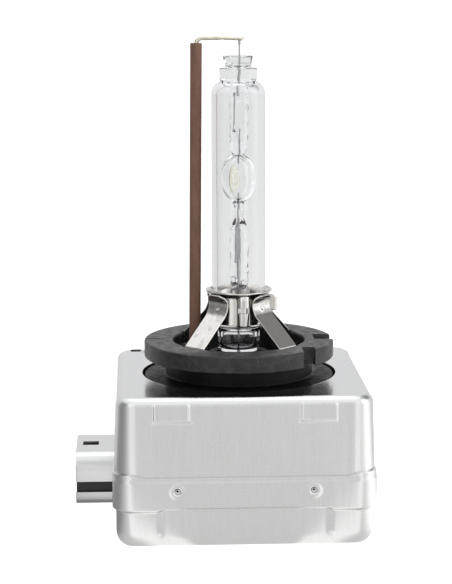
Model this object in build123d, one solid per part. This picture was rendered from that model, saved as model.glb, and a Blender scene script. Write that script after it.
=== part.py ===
from build123d import *

import os
from math import acos, atan2, cos, degrees, hypot, radians, sin

# Gas-discharge headlight bulb with its igniter in the base. Millimetres, +Z up along the burner.
# The origin is the centre of the cap ring's top face, which is the seat in the lamp. The connector
# points along -X, and the front of the igniter box faces -Y.

# ---- driving dimensions -------------------------------------------------------------------------
# cap ring and its neck
RING_R = 16.0
RING_T = 2.85
BORE_R = 11.1
NECK_R = 12.4
KEY_SLOT_W = 4.3
KEY_SLOT_DEPTH = 3.3
KEY_SLOT_Y = 0.75
SIDE_SLOT_W = 2.1
SIDE_SLOT_X = 11.05
SIDE_SLOT_Y = -10.2
FOOT_POCKET_DEPTH = 0.5
FOOT_TOE = 2.0
WELL_Z = -6.5
SHELF_Z = -1.7
# metal box
BOX_W = 42.1
BOX_TOP_Z = -5.65
BOX_BOTTOM_Z = -30.5
SHEET_T = 0.5
CORNER_R = 3.5
TOP_EDGE_R = 1.4
BOTTOM_EDGE_R = 2.6
COVER_HOLE_R = 16.38
BAND_TOP_Z = -18.0
BAND_BOTTOM_Z = -24.2
TRAY_STEP = 0.6
PANEL_HALF_W = 13.8
PANEL_DEPTH = 0.8
PAD_W = 5.8
PAD_H = 2.6
PAD_X = 11.85
PAD_TOP_Z = -6.85
PAD_PROUD = 0.15
DIMPLE_X = 10.95
DIMPLE_Z = -20.7
DIMPLE_R = 0.9
DIMPLE_DEPTH = 0.25
# connector
PLUG_HALF_W = 7.0
PLUG_TOP_Z = -18.2
PLUG_BOTTOM_Z = -26.2
PLUG_REACH = 6.4
SHIELD_T = 0.4
INSERT_WALL = 0.9
MOUTH_DEPTH = 9.8
PIN_SIZE = 0.8
PIN_PITCH = 2.8
PIN_L = 5.5
PIN_TAIL = 1.6
INSERT_BACK_T = 2.4
# burner
GLASS_R = 4.5
GLASS_WALL = 0.83
SHOULDER_R = 2.6
COLLAR_R = 3.15
COLLAR_Z = 43.8
COLLAR_H = 1.9
STUB_RIM_R = 2.54
STUB_RIM_Z = 47.7
STUB_NECK_R = 2.1
STUB_WALL = 0.45
STEM_R = 1.5
FOOT_GLASS_R = 3.6
FOOT_GLASS_Z = -2.4
ARC_Z = 27.3
ARC_GAP = 4.3
CHAMBER_R = 2.93
CHAMBER_H = 8.2
CAVITY_R = 1.5
CAVITY_H = 6.4
ELECTRODE_R = 0.15
FOIL_W = 0.8
FOIL_T = 0.06
FOIL_L = 6.5
LEAD_R = 0.2
# return conductor
TUBE_R = 0.97
TUBE_BORE_R = 0.45
TUBE_TOP_Z = 49.7
TUBE_STANDOFF = 2.45
TUBE_LEAN = 0.56
WIRE_R = 0.35
WIRE_Z = 50.5
WIRE_END_X = 1.1
WIRE_BEND_R = 0.95
FLAT_START_X = -2.7
# clamp and its legs
CLAMP_T = 0.25
CLAMP_BOTTOM_Z = 3.0
CLAMP_TOP_Z = 8.5
CLAMP_FLARE = 0.88
CLAMP_FLARE_H = 1.3
RIB_R = 1.3
RIB_X = 0.55
RIB_SINK = 0.55
TAB_REACH = 1.9
TAB_H = 3.0
LEG_W = 4.3
LEG_COUNT = 4
LEG_WAIST_Z = 6.4
LEG_LIP_R = 2.3
LEG_LIP_ANGLE = 50
LEG_BEND_R = 4.6
# igniter
CASE_WALL = 1.2
CORE_R = 3.5
CHEEK_W = 14.4
BOBBIN_L = 27.0
BOBBIN_X = 2.5
BOBBIN_Z = -17.0
CHAMBERS = 6
CAPACITOR = (22.0, 9.5, 12.0)
SPARK_R = 3.6
SPARK_L = 4.0
SPARK_X = 5.0
RESISTOR_R = 1.2
RESISTOR_L = 5.2
STRIP_T = 0.5
STRIP_W = 2.0
STRIP_L = 9.5
SLEEVE_WALL = 0.5

# ---- fits ---------------------------------------------------------------------------------------
FUSED_GAP = 0.02
SHEET_GAP = 0.05
PART_GAP = 0.2
LOOSE_GAP = 0.4
SEAM_DEPTH = 0.3
EPS = 0.01

# ---- derived ------------------------------------------------------------------------------------
GLASS_IN_R = GLASS_R - GLASS_WALL
COVER_IN_Z = BOX_TOP_Z - SHEET_T
CAP_DISC_R = COVER_HOLE_R - LOOSE_GAP
PLATE_TOP_Z = COVER_IN_Z - SHEET_GAP
PLATE_T = 1.4
CASE_TOP_Z = PLATE_TOP_Z - PLATE_T - SHEET_GAP
PANEL_HALF = BOX_W / 2 + SHEET_GAP + SHEET_T - TRAY_STEP - PANEL_DEPTH
CASE_HALF = PANEL_HALF - SHEET_T - SHEET_GAP
CASE_IN_HALF = CASE_HALF - CASE_WALL
CASE_BOTTOM_Z = BOX_BOTTOM_Z + SHEET_T + PART_GAP
CASE_FLOOR_Z = CASE_BOTTOM_Z + CASE_WALL
PLATE_HALF = BOX_W / 2 - TOP_EDGE_R
STRIP_TOP_Z = CASE_FLOOR_Z + STRIP_T
TIP_UP_Z = ARC_Z + ARC_GAP / 2
TIP_DOWN_Z = ARC_Z - ARC_GAP / 2
ELECTRODE_L = 5.6
COLLAR_TOP_Z = COLLAR_Z + COLLAR_H
STEM_TOP_Z = COLLAR_Z + COLLAR_H / 2
UP_FOIL_Z = TIP_UP_Z + ELECTRODE_L
DOWN_FOIL_Z = TIP_DOWN_Z - ELECTRODE_L - FOIL_L
FOIL_X = ELECTRODE_R + FOIL_T / 2
LEAD_X = LEAD_R - ELECTRODE_R
WELD_L = 0.6
CONTACT_Z = CASE_TOP_Z - 1.8
CLAMP_IN_R = GLASS_R + FUSED_GAP
CLAMP_OUT_R = CLAMP_IN_R + CLAMP_T
CLAMP_RIM_R = CLAMP_OUT_R + CLAMP_FLARE
TUBE_TOP_X = -(GLASS_R + TUBE_STANDOFF)
LEG_WAIST_R = CLAMP_OUT_R + FUSED_GAP + CLAMP_T / 2
PLUG_END_X = -(BOX_W / 2 + SHEET_GAP + SHEET_T + PLUG_REACH)
INSERT_HALF_W = PLUG_HALF_W - SHIELD_T - SHEET_GAP
INSERT_TOP_Z = PLUG_TOP_Z - SHIELD_T - SHEET_GAP
INSERT_BOTTOM_Z = PLUG_BOTTOM_Z + SHIELD_T + SHEET_GAP
INSERT_FRONT_X = PLUG_END_X + SHIELD_T
PLUG_MID_Z = (PLUG_TOP_Z + PLUG_BOTTOM_Z) / 2
MOUTH_END_X = INSERT_FRONT_X + MOUTH_DEPTH
INSERT_BACK_X = MOUTH_END_X + INSERT_BACK_T
PIN_BEND_X = INSERT_BACK_X + PIN_TAIL
BOBBIN_Y = CASE_IN_HALF - 1.35 - CHEEK_W / 2
SPARK_Y = BOBBIN_Y - CHEEK_W / 2 - 1.0 - SPARK_R
SPARK_Z = STRIP_TOP_Z + SPARK_R + 0.9
RESISTOR_X = -CASE_IN_HALF + 6.15
CAPACITOR_X = RESISTOR_X + RESISTOR_L / 2 + 2.75
CAPACITOR_Y = -CASE_IN_HALF + LOOSE_GAP


def block(x, y, z):
    """Box between two corners given as (low, high) pairs."""
    size = [high - low for low, high in (x, y, z)]
    middle = [(high + low) / 2 for low, high in (x, y, z)]
    return Pos(*middle) * Box(*size)


def rounded_block(half, z_low, z_high, corner):
    """Square block about the Z axis with rounded vertical edges."""
    return Pos(0, 0, z_low) * extrude(RectangleRounded(2 * half, 2 * half, corner), z_high - z_low)


def rod(radius, z_low, z_high, x=0.0, y=0.0):
    """Vertical round bar."""
    return Pos(x, y, (z_low + z_high) / 2) * Cylinder(radius, z_high - z_low)


def bar_x(radius, x_low, x_high, y, z):
    """Round bar along X."""
    return Pos((x_low + x_high) / 2, y, z) * Rot(0, 90, 0) * Cylinder(radius, x_high - x_low)


def ring_body(outer, inner, z_low, z_high):
    """Vertical tube."""
    return rod(outer, z_low, z_high) - rod(inner, z_low - EPS, z_high + EPS)


def turned(points):
    """Solid of revolution about Z from (radius, z) points, straight between them."""
    return revolve(Plane.XZ * make_face(Polyline(*points, close=True)), Axis.Z)


def ellipsoid(radius, height, z):
    """Ellipsoid of revolution about Z."""
    right_half = Pos(radius, 0) * Rectangle(2 * radius, 2 * height)
    profile = Ellipse(radius, height / 2) & right_half
    return revolve(Plane.XZ * Pos(0, z) * profile, Axis.Z)


# ---- burner -------------------------------------------------------------------------------------
def tube_x(z):
    """X of the leaning ceramic tube's centre line at a height."""
    return TUBE_TOP_X - (TUBE_TOP_Z - z) * sin(radians(TUBE_LEAN))


def outer_envelope():
    """Closed glass tube with a round shoulder, a collar sealed on the arc tube's stem, and an open stub."""
    tube = rod(GLASS_R, CLAMP_BOTTOM_Z, COLLAR_Z)
    tube = fillet(tube.edges().group_by(Axis.Z)[-1], SHOULDER_R)
    foot = rod(FOOT_GLASS_R, FOOT_GLASS_Z, CLAMP_BOTTOM_Z + GLASS_WALL)
    foot = fillet(foot.edges().group_by(Axis.Z)[0], GLASS_WALL)
    collar = rod(COLLAR_R, COLLAR_Z - SEAM_DEPTH, COLLAR_TOP_Z)
    stub_h = STUB_RIM_Z - COLLAR_TOP_Z + SEAM_DEPTH
    stub_middle = Pos(0, 0, STUB_RIM_Z - stub_h / 2)
    stub = stub_middle * Cone(STUB_NECK_R, STUB_RIM_R, stub_h)
    room = rod(GLASS_IN_R, CLAMP_BOTTOM_Z + GLASS_WALL, COLLAR_Z - GLASS_WALL)
    room = fillet(room.edges().group_by(Axis.Z)[-1], SHOULDER_R - GLASS_WALL)
    room = fillet(room.edges().group_by(Axis.Z)[0], GLASS_WALL)
    cup = Pos(0, 0, SEAM_DEPTH) * stub_middle * Cone(STUB_NECK_R - STUB_WALL, STUB_RIM_R - STUB_WALL, stub_h)
    glass = tube + foot + collar + stub - room - cup
    foot_seal = (CLAMP_BOTTOM_Z, CLAMP_BOTTOM_Z + 2 * GLASS_WALL)
    collar_seal = (COLLAR_Z - 2 * GLASS_WALL, STEM_TOP_Z)
    for z_low, z_high in (foot_seal, collar_seal):
        glass -= rod(STEM_R + FUSED_GAP, z_low - FUSED_GAP, z_high + FUSED_GAP)
    return glass - upper_lead() - lower_lead()


def upper_electrode():
    return rod(ELECTRODE_R, TIP_UP_Z, UP_FOIL_Z + WELD_L)


def lower_electrode():
    return rod(ELECTRODE_R, DOWN_FOIL_Z + FOIL_L - WELD_L, TIP_DOWN_Z)


def upper_foil():
    return block((-FOIL_X - FOIL_T / 2, -FOIL_X + FOIL_T / 2), (-FOIL_W / 2, FOIL_W / 2),
                 (UP_FOIL_Z, UP_FOIL_Z + FOIL_L))


def lower_foil():
    return block((-FOIL_W / 2, FOIL_W / 2), (-FOIL_X - FOIL_T / 2, -FOIL_X + FOIL_T / 2),
                 (DOWN_FOIL_Z, DOWN_FOIL_Z + FOIL_L))


def upper_lead():
    return rod(LEAD_R, UP_FOIL_Z + FOIL_L - WELD_L, WIRE_Z - WIRE_R, x=LEAD_X)


def lower_lead():
    return rod(LEAD_R, CONTACT_Z, DOWN_FOIL_Z + WELD_L, y=LEAD_X)


def cavity():
    return ellipsoid(CAVITY_R, CAVITY_H, ARC_Z)


def halide_deposit():
    """Film of salts on the left wall of the arc chamber, thickest in the middle."""
    shrink = 0.97
    free = Pos(CAVITY_R * (1 - shrink) * 1.5, 0, 0) * ellipsoid(CAVITY_R * shrink, CAVITY_H * shrink, ARC_Z)
    film = cavity() - free
    reach = CAVITY_H * 0.4
    side = block((-CAVITY_R, -CAVITY_R / 4), (-CAVITY_R, CAVITY_R), (ARC_Z - reach, ARC_Z + reach))
    return film & side


def arc_tube():
    stem = rod(STEM_R, CLAMP_BOTTOM_Z, STEM_TOP_Z)
    body = stem + ellipsoid(CHAMBER_R, CHAMBER_H, ARC_Z)
    body -= cavity()
    tubulation = STEM_R * 0.62
    body -= rod(tubulation, CLAMP_BOTTOM_Z - EPS, DOWN_FOIL_Z - 1.5)
    for metal in (upper_electrode, lower_electrode, upper_foil, lower_foil, upper_lead, lower_lead):
        body -= metal()
    return body


def ceramic_tube():
    low_z = WELL_Z
    length = (TUBE_TOP_Z - low_z) / cos(radians(TUBE_LEAN))
    middle = (TUBE_TOP_Z + low_z) / 2
    tube = Cylinder(TUBE_R, length) - Cylinder(TUBE_BORE_R, length + 1)
    return Pos(tube_x(middle), 0, middle) * Rot(0, TUBE_LEAN, 0) * tube


def return_wire():
    low_z = CONTACT_Z
    foot = (tube_x(low_z), 0, low_z)
    corner = (tube_x(WIRE_Z), 0, WIRE_Z)
    path = FilletPolyline(foot, corner, (FLAT_START_X, 0, WIRE_Z), radius=WIRE_BEND_R)
    wire = sweep(Plane(foot, z_dir=path % 0) * Circle(WIRE_R), path)
    flat_half_w = WIRE_R * 1.35
    flat_z = (WIRE_Z - WIRE_R, WIRE_Z + WIRE_R * 0.7)
    flat = block((FLAT_START_X, WIRE_END_X), (-flat_half_w, flat_half_w), flat_z)
    return wire + fillet(flat.edges().filter_by(Axis.X), WIRE_R * 0.6)


# ---- clamp --------------------------------------------------------------------------------------
def clamp_band():
    """Sheet collar round the glass, flared at the top, with a folded closing rib and a pinch tab."""
    flare_z = CLAMP_TOP_Z - CLAMP_FLARE_H
    wall = [
        (CLAMP_IN_R, CLAMP_BOTTOM_Z), (CLAMP_OUT_R, CLAMP_BOTTOM_Z), (CLAMP_OUT_R, flare_z),
        (CLAMP_OUT_R + CLAMP_T, flare_z + CLAMP_FLARE_H / 2), (CLAMP_RIM_R, CLAMP_TOP_Z),
        (CLAMP_RIM_R - CLAMP_T / 2, CLAMP_TOP_Z + CLAMP_T * 0.8),
        (CLAMP_OUT_R, flare_z + CLAMP_FLARE_H * 0.73), (CLAMP_IN_R, flare_z + CLAMP_T * 0.8),
    ]
    band = turned(wall)
    rib_y = -CLAMP_OUT_R + RIB_SINK
    low_z, high_z = CLAMP_BOTTOM_Z, CLAMP_TOP_Z - 2 * CLAMP_T
    rib = rod(RIB_R, low_z, high_z, RIB_X, rib_y)
    rib -= rod(RIB_R - CLAMP_T, low_z - 1, high_z + 1, RIB_X, rib_y)
    rib -= rod(CLAMP_IN_R + CLAMP_T / 2, low_z - 1, high_z + 1)
    window_y = (rib_y - RIB_R - 1, rib_y - RIB_R / 2)
    rib -= block((RIB_X - RIB_R, RIB_X + RIB_R), window_y, (LEG_WAIST_Z - 1.2, LEG_WAIST_Z - 0.2))
    tab_x = (CLAMP_OUT_R - CLAMP_T / 5, CLAMP_OUT_R + TAB_REACH)
    tab = block(tab_x, (0, 2 * CLAMP_T), (LEG_WAIST_Z - TAB_H / 2, LEG_WAIST_Z + TAB_H / 2))
    return band + rib + tab


def leg_profile():
    """Centre line of a leg in the radial plane: lip, waist on the collar, bend and straight foot."""
    waist = (LEG_WAIST_R, LEG_WAIST_Z)
    lip_centre = (LEG_WAIST_R + LEG_LIP_R, LEG_WAIST_Z)

    def on_lip(angle):
        a = radians(angle)
        return (lip_centre[0] - LEG_LIP_R * cos(a), lip_centre[1] + LEG_LIP_R * sin(a))

    foot = (BORE_R - CLAMP_T / 2 - SHEET_GAP, -0.1)
    bend_centre = (LEG_WAIST_R + LEG_BEND_R, LEG_WAIST_Z)
    reach = hypot(foot[0] - bend_centre[0], foot[1] - bend_centre[1])
    to_foot = degrees(atan2(bend_centre[1] - foot[1], bend_centre[0] - foot[0]))
    turn = to_foot - degrees(acos(LEG_BEND_R / reach))

    def on_bend(angle):
        a = radians(angle)
        return (bend_centre[0] - LEG_BEND_R * cos(a), bend_centre[1] - LEG_BEND_R * sin(a))

    lip = ThreePointArc(on_lip(LEG_LIP_ANGLE), on_lip(LEG_LIP_ANGLE / 2), waist)
    bend = ThreePointArc(waist, on_bend(turn / 2), on_bend(turn))
    shin = Line(on_bend(turn), foot)
    toe = Line(foot, (foot[0], foot[1] - FOOT_TOE))
    return lip, bend, shin, toe


def spring_leg(angle):
    """Flat strip leg from the collar out to the bore of the cap ring."""
    strip = trace(list(leg_profile()), CLAMP_T)
    leg = extrude(Plane.XZ * strip, LEG_W / 2, both=True)
    return Rot(0, 0, angle) * leg


def leg_angles():
    return [45 + 360 / LEG_COUNT * i for i in range(LEG_COUNT)]


# ---- cap ----------------------------------------------------------------------------------------
def cap_housing():
    """Keyed ring, neck and disc moulded in one with the plate that closes the igniter case."""
    body = rod(RING_R, -RING_T, 0) + rod(NECK_R, PLATE_TOP_Z, -RING_T)
    body += rod(CAP_DISC_R, PLATE_TOP_Z, BOX_TOP_Z - PART_GAP)
    body += rounded_block(PLATE_HALF, PLATE_TOP_Z - PLATE_T, PLATE_TOP_Z, CORNER_R - SHEET_T)
    body -= rod(BORE_R, WELL_Z, EPS)
    socket_r = FOOT_GLASS_R + 0.4
    body += ring_body(socket_r + 1.2, socket_r, WELL_Z, FOOT_GLASS_Z + 0.2)
    tower_x = tube_x(-RING_T)
    body += rod(TUBE_R + 1.2, WELL_Z, -RING_T / 2, tower_x)
    left_side = block((-RING_R, tower_x - TUBE_R), (-RING_R, RING_R), (-RING_R, 0))
    shelf = rod(BORE_R + EPS, WELL_Z, SHELF_Z) & left_side
    body += shelf - block((-RING_R, 0), (-TUBE_BORE_R, TUBE_BORE_R), (-RING_T, 0))
    lean_tool = Rot(0, TUBE_LEAN, 0) * Cylinder(TUBE_R + SHEET_GAP, 2 * RING_R)
    body -= Pos(tower_x, 0, -RING_T) * lean_tool & block((-RING_R, 0), (-RING_R, RING_R), (WELL_Z, RING_R))
    body -= rod(WIRE_R + PART_GAP, CASE_TOP_Z - 1, WELL_Z + 1, tube_x(WELL_Z))
    body -= rod(LEAD_R + PART_GAP, CASE_TOP_Z - 1, 0, y=LEAD_X)
    for angle in leg_angles():
        half_w = LEG_W / 2 + PART_GAP
        depth = (BORE_R - 1, BORE_R + FOOT_POCKET_DEPTH)
        pocket = block(depth, (-half_w, half_w), (-FOOT_TOE - LOOSE_GAP, 1))
        body -= Rot(0, 0, angle) * pocket
    key_y = (KEY_SLOT_Y - KEY_SLOT_W / 2, KEY_SLOT_Y + KEY_SLOT_W / 2)
    body -= block((RING_R - KEY_SLOT_DEPTH, RING_R + 1), key_y, (-RING_T, 1))
    side_x = (SIDE_SLOT_X - SIDE_SLOT_W / 2, SIDE_SLOT_X + SIDE_SLOT_W / 2)
    body -= block(side_x, (-RING_R - 1, SIDE_SLOT_Y), (-RING_T, 1))
    body -= block((-RING_R + 0.3, -RING_R + 2.7), (0.3, 0.7), (-0.15, 1))
    return body


# ---- metal box ----------------------------------------------------------------------------------
def upper_cover():
    half = BOX_W / 2
    low_z = BAND_BOTTOM_Z + SHEET_T
    shell = rounded_block(half, low_z, BOX_TOP_Z, CORNER_R)
    shell = fillet(shell.faces().sort_by(Axis.Z)[-1].edges(), TOP_EDGE_R)
    hollow = rounded_block(half - SHEET_T, low_z - EPS, COVER_IN_Z, CORNER_R - SHEET_T)
    hollow = fillet(hollow.faces().sort_by(Axis.Z)[-1].edges(), TOP_EDGE_R - SHEET_T)
    cover = shell - hollow - rod(COVER_HOLE_R, COVER_IN_Z - 1, 0)
    for side in (-1, 1):
        x = (side * PAD_X - PAD_W / 2, side * PAD_X + PAD_W / 2)
        cover += block(x, (-half - PAD_PROUD, -half + SHEET_T / 2), (PAD_TOP_Z - PAD_H, PAD_TOP_Z))
    plug_y = PLUG_HALF_W + PART_GAP
    cover -= block((-half - 1, -half + 1), (-plug_y, plug_y), (low_z - 1, PLUG_TOP_Z + PART_GAP))
    vent_x = -half + 2.3
    cover -= block((vent_x, vent_x + 1.9), (half - 3.4, half - 1.0 - SHEET_T), (COVER_IN_Z - 1, 0))
    return cover


def tray_bowl(half, z_low, z_high, corner, bottom_r, panel_half_w):
    """Rounded bowl shape, set back by the panel depth on every side but the plug's."""
    bowl = rounded_block(half, z_low, z_high, corner)
    bowl = fillet(bowl.faces().sort_by(Axis.Z)[0].edges(), bottom_r)
    recess = block((half - PANEL_DEPTH, half + 1), (-panel_half_w, panel_half_w), (z_low - 1, z_high + 1))
    for angle in (-90, 0, 90):
        bowl -= Rot(0, 0, angle) * recess
    return bowl


def lower_tray():
    """Tray whose upper band overlaps the cover, stepped in below the band."""
    band_half = BOX_W / 2 + SHEET_GAP + SHEET_T
    low_half = band_half - TRAY_STEP
    tray = rounded_block(band_half, BAND_BOTTOM_Z, BAND_TOP_Z, CORNER_R)
    tray += tray_bowl(low_half, BOX_BOTTOM_Z, BAND_BOTTOM_Z, CORNER_R, BOTTOM_EDGE_R, PANEL_HALF_W)
    step_z = BAND_BOTTOM_Z + SHEET_T
    tray -= rounded_block(band_half - SHEET_T, step_z, BAND_TOP_Z + EPS, CORNER_R - SHEET_T)
    tray -= tray_bowl(low_half - SHEET_T, BOX_BOTTOM_Z + SHEET_T, step_z + EPS, CORNER_R - SHEET_T,
                      BOTTOM_EDGE_R - SHEET_T, PANEL_HALF_W + SHEET_T)
    plug_y = PLUG_HALF_W + PART_GAP
    plug_z = (PLUG_BOTTOM_Z - PART_GAP, BAND_TOP_Z + 1)
    tray -= block((-band_half - 1, -band_half + 2), (-plug_y, plug_y), plug_z)
    dent = Rot(-90, 0, 0) * Cone(DIMPLE_R / 2, DIMPLE_R, DIMPLE_DEPTH)
    for side in (-1, 1):
        tray -= Pos(side * DIMPLE_X, -band_half + DIMPLE_DEPTH / 2, DIMPLE_Z) * dent
    return tray


# ---- connector ----------------------------------------------------------------------------------
def plug_block(half_w, z_low, z_high, x_low, x_high):
    return block((x_low, x_high), (-half_w, half_w), (z_low, z_high))


def connector_shield():
    """Folded sheet sleeve round the plug insert, open at both ends and slotted along both sides."""
    inner_x = -CASE_HALF - PART_GAP / 2
    outside = plug_block(PLUG_HALF_W, PLUG_BOTTOM_Z, PLUG_TOP_Z, PLUG_END_X, inner_x)
    outside = fillet(outside.edges().filter_by(Axis.X), 0.7)
    sleeve = outside - plug_block(PLUG_HALF_W - SHIELD_T, PLUG_BOTTOM_Z + SHIELD_T, PLUG_TOP_Z - SHIELD_T,
                                  PLUG_END_X - 1, inner_x + 1)
    slot_z = (PLUG_BOTTOM_Z + 1.7, PLUG_BOTTOM_Z + 3.5)
    slot_end = -BOX_W / 2 - SHEET_T
    sleeve -= block((PLUG_END_X - 1, slot_end), (-PLUG_HALF_W - 1, -PLUG_HALF_W + SHIELD_T + EPS), slot_z)
    sleeve -= block((PLUG_END_X + 0.8, PLUG_END_X + 3.7), (0.1, 2.7), (PLUG_TOP_Z - 1, PLUG_TOP_Z + 1))
    return sleeve


def pin_rows():
    return [PIN_PITCH * (i - 1.5) for i in range(4)]


def connector_insert():
    """Plastic plug shroud with its mouth at -X, moulded round the four contact pins."""
    body = plug_block(INSERT_HALF_W, INSERT_BOTTOM_Z, INSERT_TOP_Z, INSERT_FRONT_X, INSERT_BACK_X)
    mouth_z = (INSERT_BOTTOM_Z + INSERT_WALL, INSERT_TOP_Z - INSERT_WALL)
    mouth = plug_block(INSERT_HALF_W - INSERT_WALL, *mouth_z, INSERT_FRONT_X - 1, MOUTH_END_X)
    return body - mouth - contact_pins()


def contact_pins():
    """Four bent pins from the plug mouth down to the lead frame."""
    half = PIN_SIZE / 2
    pins = []
    for y in pin_rows():
        width = (y - half, y + half)
        blade = block((MOUTH_END_X - PIN_L, PIN_BEND_X), width, (PLUG_MID_Z - half, PLUG_MID_Z + half))
        tail = block((PIN_BEND_X - PIN_SIZE, PIN_BEND_X), width, (STRIP_TOP_Z, PLUG_MID_Z + half))
        pins.append(blade + tail)
    return Compound(children=pins)


# ---- igniter ------------------------------------------------------------------------------------
def igniter_case():
    """Open plastic case with a window for the plug insert."""
    case = rounded_block(CASE_HALF, CASE_BOTTOM_Z, CASE_TOP_Z, CORNER_R - 1.3)
    case = fillet(case.faces().sort_by(Axis.Z)[0].edges(), BOTTOM_EDGE_R - SHEET_T)
    case -= rounded_block(CASE_IN_HALF, CASE_FLOOR_Z, CASE_TOP_Z + EPS, CORNER_R - 2.5)
    window = plug_block(INSERT_HALF_W + SHEET_GAP, INSERT_BOTTOM_Z - SHEET_GAP, INSERT_TOP_Z + SHEET_GAP,
                        -CASE_HALF - 1, -CASE_IN_HALF + 1)
    return case - window


def bobbin_ends():
    return BOBBIN_X - BOBBIN_L / 2, BOBBIN_X + BOBBIN_L / 2


def chamber_walls():
    """X of the thin walls that part the winding chambers, with the two cheeks as first and last."""
    low, high = bobbin_ends()
    pitch = (high - low) / (CHAMBERS + 1)
    return [low + pitch * i for i in range(CHAMBERS + 2)]


def transformer_core():
    low, high = bobbin_ends()
    return bar_x(CORE_R, low - 1, high + 1, BOBBIN_Y, BOBBIN_Z)


def transformer_bobbin():
    """Chambered bobbin whose square cheeks stand on the lead frame."""
    low, high = bobbin_ends()
    barrel_r = CORE_R + 1.0
    wall = 0.6
    body = bar_x(barrel_r, low, high, BOBBIN_Y, BOBBIN_Z)
    cheek_y = (BOBBIN_Y - CHEEK_W / 2, BOBBIN_Y + CHEEK_W / 2)
    for x in chamber_walls()[1:-1]:
        body += bar_x(CHEEK_W / 2, x - wall / 2, x + wall / 2, BOBBIN_Y, BOBBIN_Z)
    for x in (low, high - 2 * wall):
        body += block((x, x + 2 * wall), cheek_y, (STRIP_TOP_Z, BOBBIN_Z + CHEEK_W / 2))
    return body - bar_x(CORE_R + SHEET_GAP, low - 1, high + 1, BOBBIN_Y, BOBBIN_Z)


def chamber_coil(index, outer_r):
    """Coil that fills one chamber of the bobbin out to a radius."""
    wall = 0.6
    walls = chamber_walls()
    low = walls[index] + (2 * wall if index == 0 else wall / 2) + SHEET_GAP
    high = walls[index + 1] - (2 * wall if index == CHAMBERS else wall / 2) - SHEET_GAP
    coil = bar_x(outer_r, low, high, BOBBIN_Y, BOBBIN_Z)
    return coil - bar_x(CORE_R + 1 + SHEET_GAP, low - 1, high + 1, BOBBIN_Y, BOBBIN_Z)


def secondary_winding():
    """Fine-wire high-voltage winding, one coil in each chamber but the first."""
    return Compound(children=[chamber_coil(i, CHEEK_W / 2 - 0.9) for i in range(1, CHAMBERS + 1)])


def primary_winding():
    return chamber_coil(0, CORE_R + 2.2)


def capacitor():
    length, width, height = CAPACITOR
    body = block((CAPACITOR_X, CAPACITOR_X + length), (CAPACITOR_Y, CAPACITOR_Y + width),
                 (STRIP_TOP_Z, STRIP_TOP_Z + height))
    return fillet(body.edges().filter_by(Axis.Z), 0.8)


def spark_gap_body():
    tube = bar_x(SPARK_R, SPARK_X - SPARK_L / 2, SPARK_X + SPARK_L / 2, SPARK_Y, SPARK_Z)
    return tube - bar_x(SPARK_R - 1, SPARK_X - SPARK_L, SPARK_X + SPARK_L, SPARK_Y, SPARK_Z)


def spark_gap_electrodes():
    """Two end caps with inward studs, a short gap apart."""
    caps = []
    for side in (-1, 1):
        face = SPARK_X + side * SPARK_L / 2
        plate = bar_x(SPARK_R - 0.1, *sorted((face, face + side)), SPARK_Y, SPARK_Z)
        stud = bar_x(1.5, *sorted((SPARK_X + side * 0.4, face)), SPARK_Y, SPARK_Z)
        caps.append(plate + stud)
    return Compound(children=caps)


def bleeder_resistors():
    """Two leaded resistors standing on the lead frame."""
    made = []
    z = STRIP_TOP_Z + 3.0
    lead_r = 0.3
    for row in range(2):
        y = -CASE_IN_HALF + 2.15 + 4 * row
        reach = RESISTOR_L / 2 + 1
        body = bar_x(RESISTOR_R, RESISTOR_X - RESISTOR_L / 2, RESISTOR_X + RESISTOR_L / 2, y, z)
        body += bar_x(lead_r, RESISTOR_X - reach, RESISTOR_X + reach, y, z)
        for side in (-1, 1):
            body += rod(lead_r, STRIP_TOP_Z, z, RESISTOR_X + side * (reach - lead_r), y)
        made.append(body)
    return Compound(children=made)


def lead_frame():
    """Stamped strips on the case floor, two of them turned up against the spark gap's caps."""
    floor = (CASE_FLOOR_Z, STRIP_TOP_Z)
    strips = []
    for y in pin_rows():
        row_x = (PIN_BEND_X - 2, PIN_BEND_X + STRIP_L)
        strips.append(block(row_x, (y - STRIP_W / 2, y + STRIP_W / 2), floor))
    for x in bobbin_ends():
        cradle_y = (BOBBIN_Y - STRIP_W / 2, BOBBIN_Y + CHEEK_W / 2)
        strips.append(block((x - STRIP_W / 2, x + STRIP_W / 2), cradle_y, floor))
    clip_half = 1.4
    for side in (-1, 1):
        face = SPARK_X + side * (SPARK_L / 2 + 1 + SHEET_GAP)
        upright = block(sorted((face, face + side * STRIP_T)), (SPARK_Y - clip_half, SPARK_Y + clip_half),
                        (CASE_FLOOR_Z, SPARK_Z + 1))
        foot = block(sorted((face, face + side * 3.0)), (SPARK_Y - clip_half, SPARK_Y + clip_half),
                     floor)
        strips.append(upright + foot)
    pad_y = (-CASE_IN_HALF + 1.15, -CASE_IN_HALF + 7.15)
    strips.append(block((RESISTOR_X - 4, RESISTOR_X + 4), pad_y, floor))
    return Compound(children=strips)


def contact_sleeve(bore_r, x, y):
    """Crimp sleeve under the case lid, and the bar that bores it out."""
    low_z = CONTACT_Z - 0.2
    sleeve = rod(bore_r + SLEEVE_WALL, low_z, CASE_TOP_Z - SHEET_GAP, x, y)
    bore = rod(bore_r, low_z - 1, CASE_TOP_Z + 1, x, y)
    return sleeve, bore


def hv_contact():
    """Crimp sleeve on the burner's lower lead with a strap to the high-voltage end of the winding."""
    sleeve, bore = contact_sleeve(LEAD_R + SHEET_GAP, 0, LEAD_X)
    strap = block((-1.0, 1.0), (0, BOBBIN_Y), (CASE_TOP_Z - SHEET_GAP - STRIP_T, CASE_TOP_Z - SHEET_GAP))
    return sleeve + strap - bore


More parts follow.
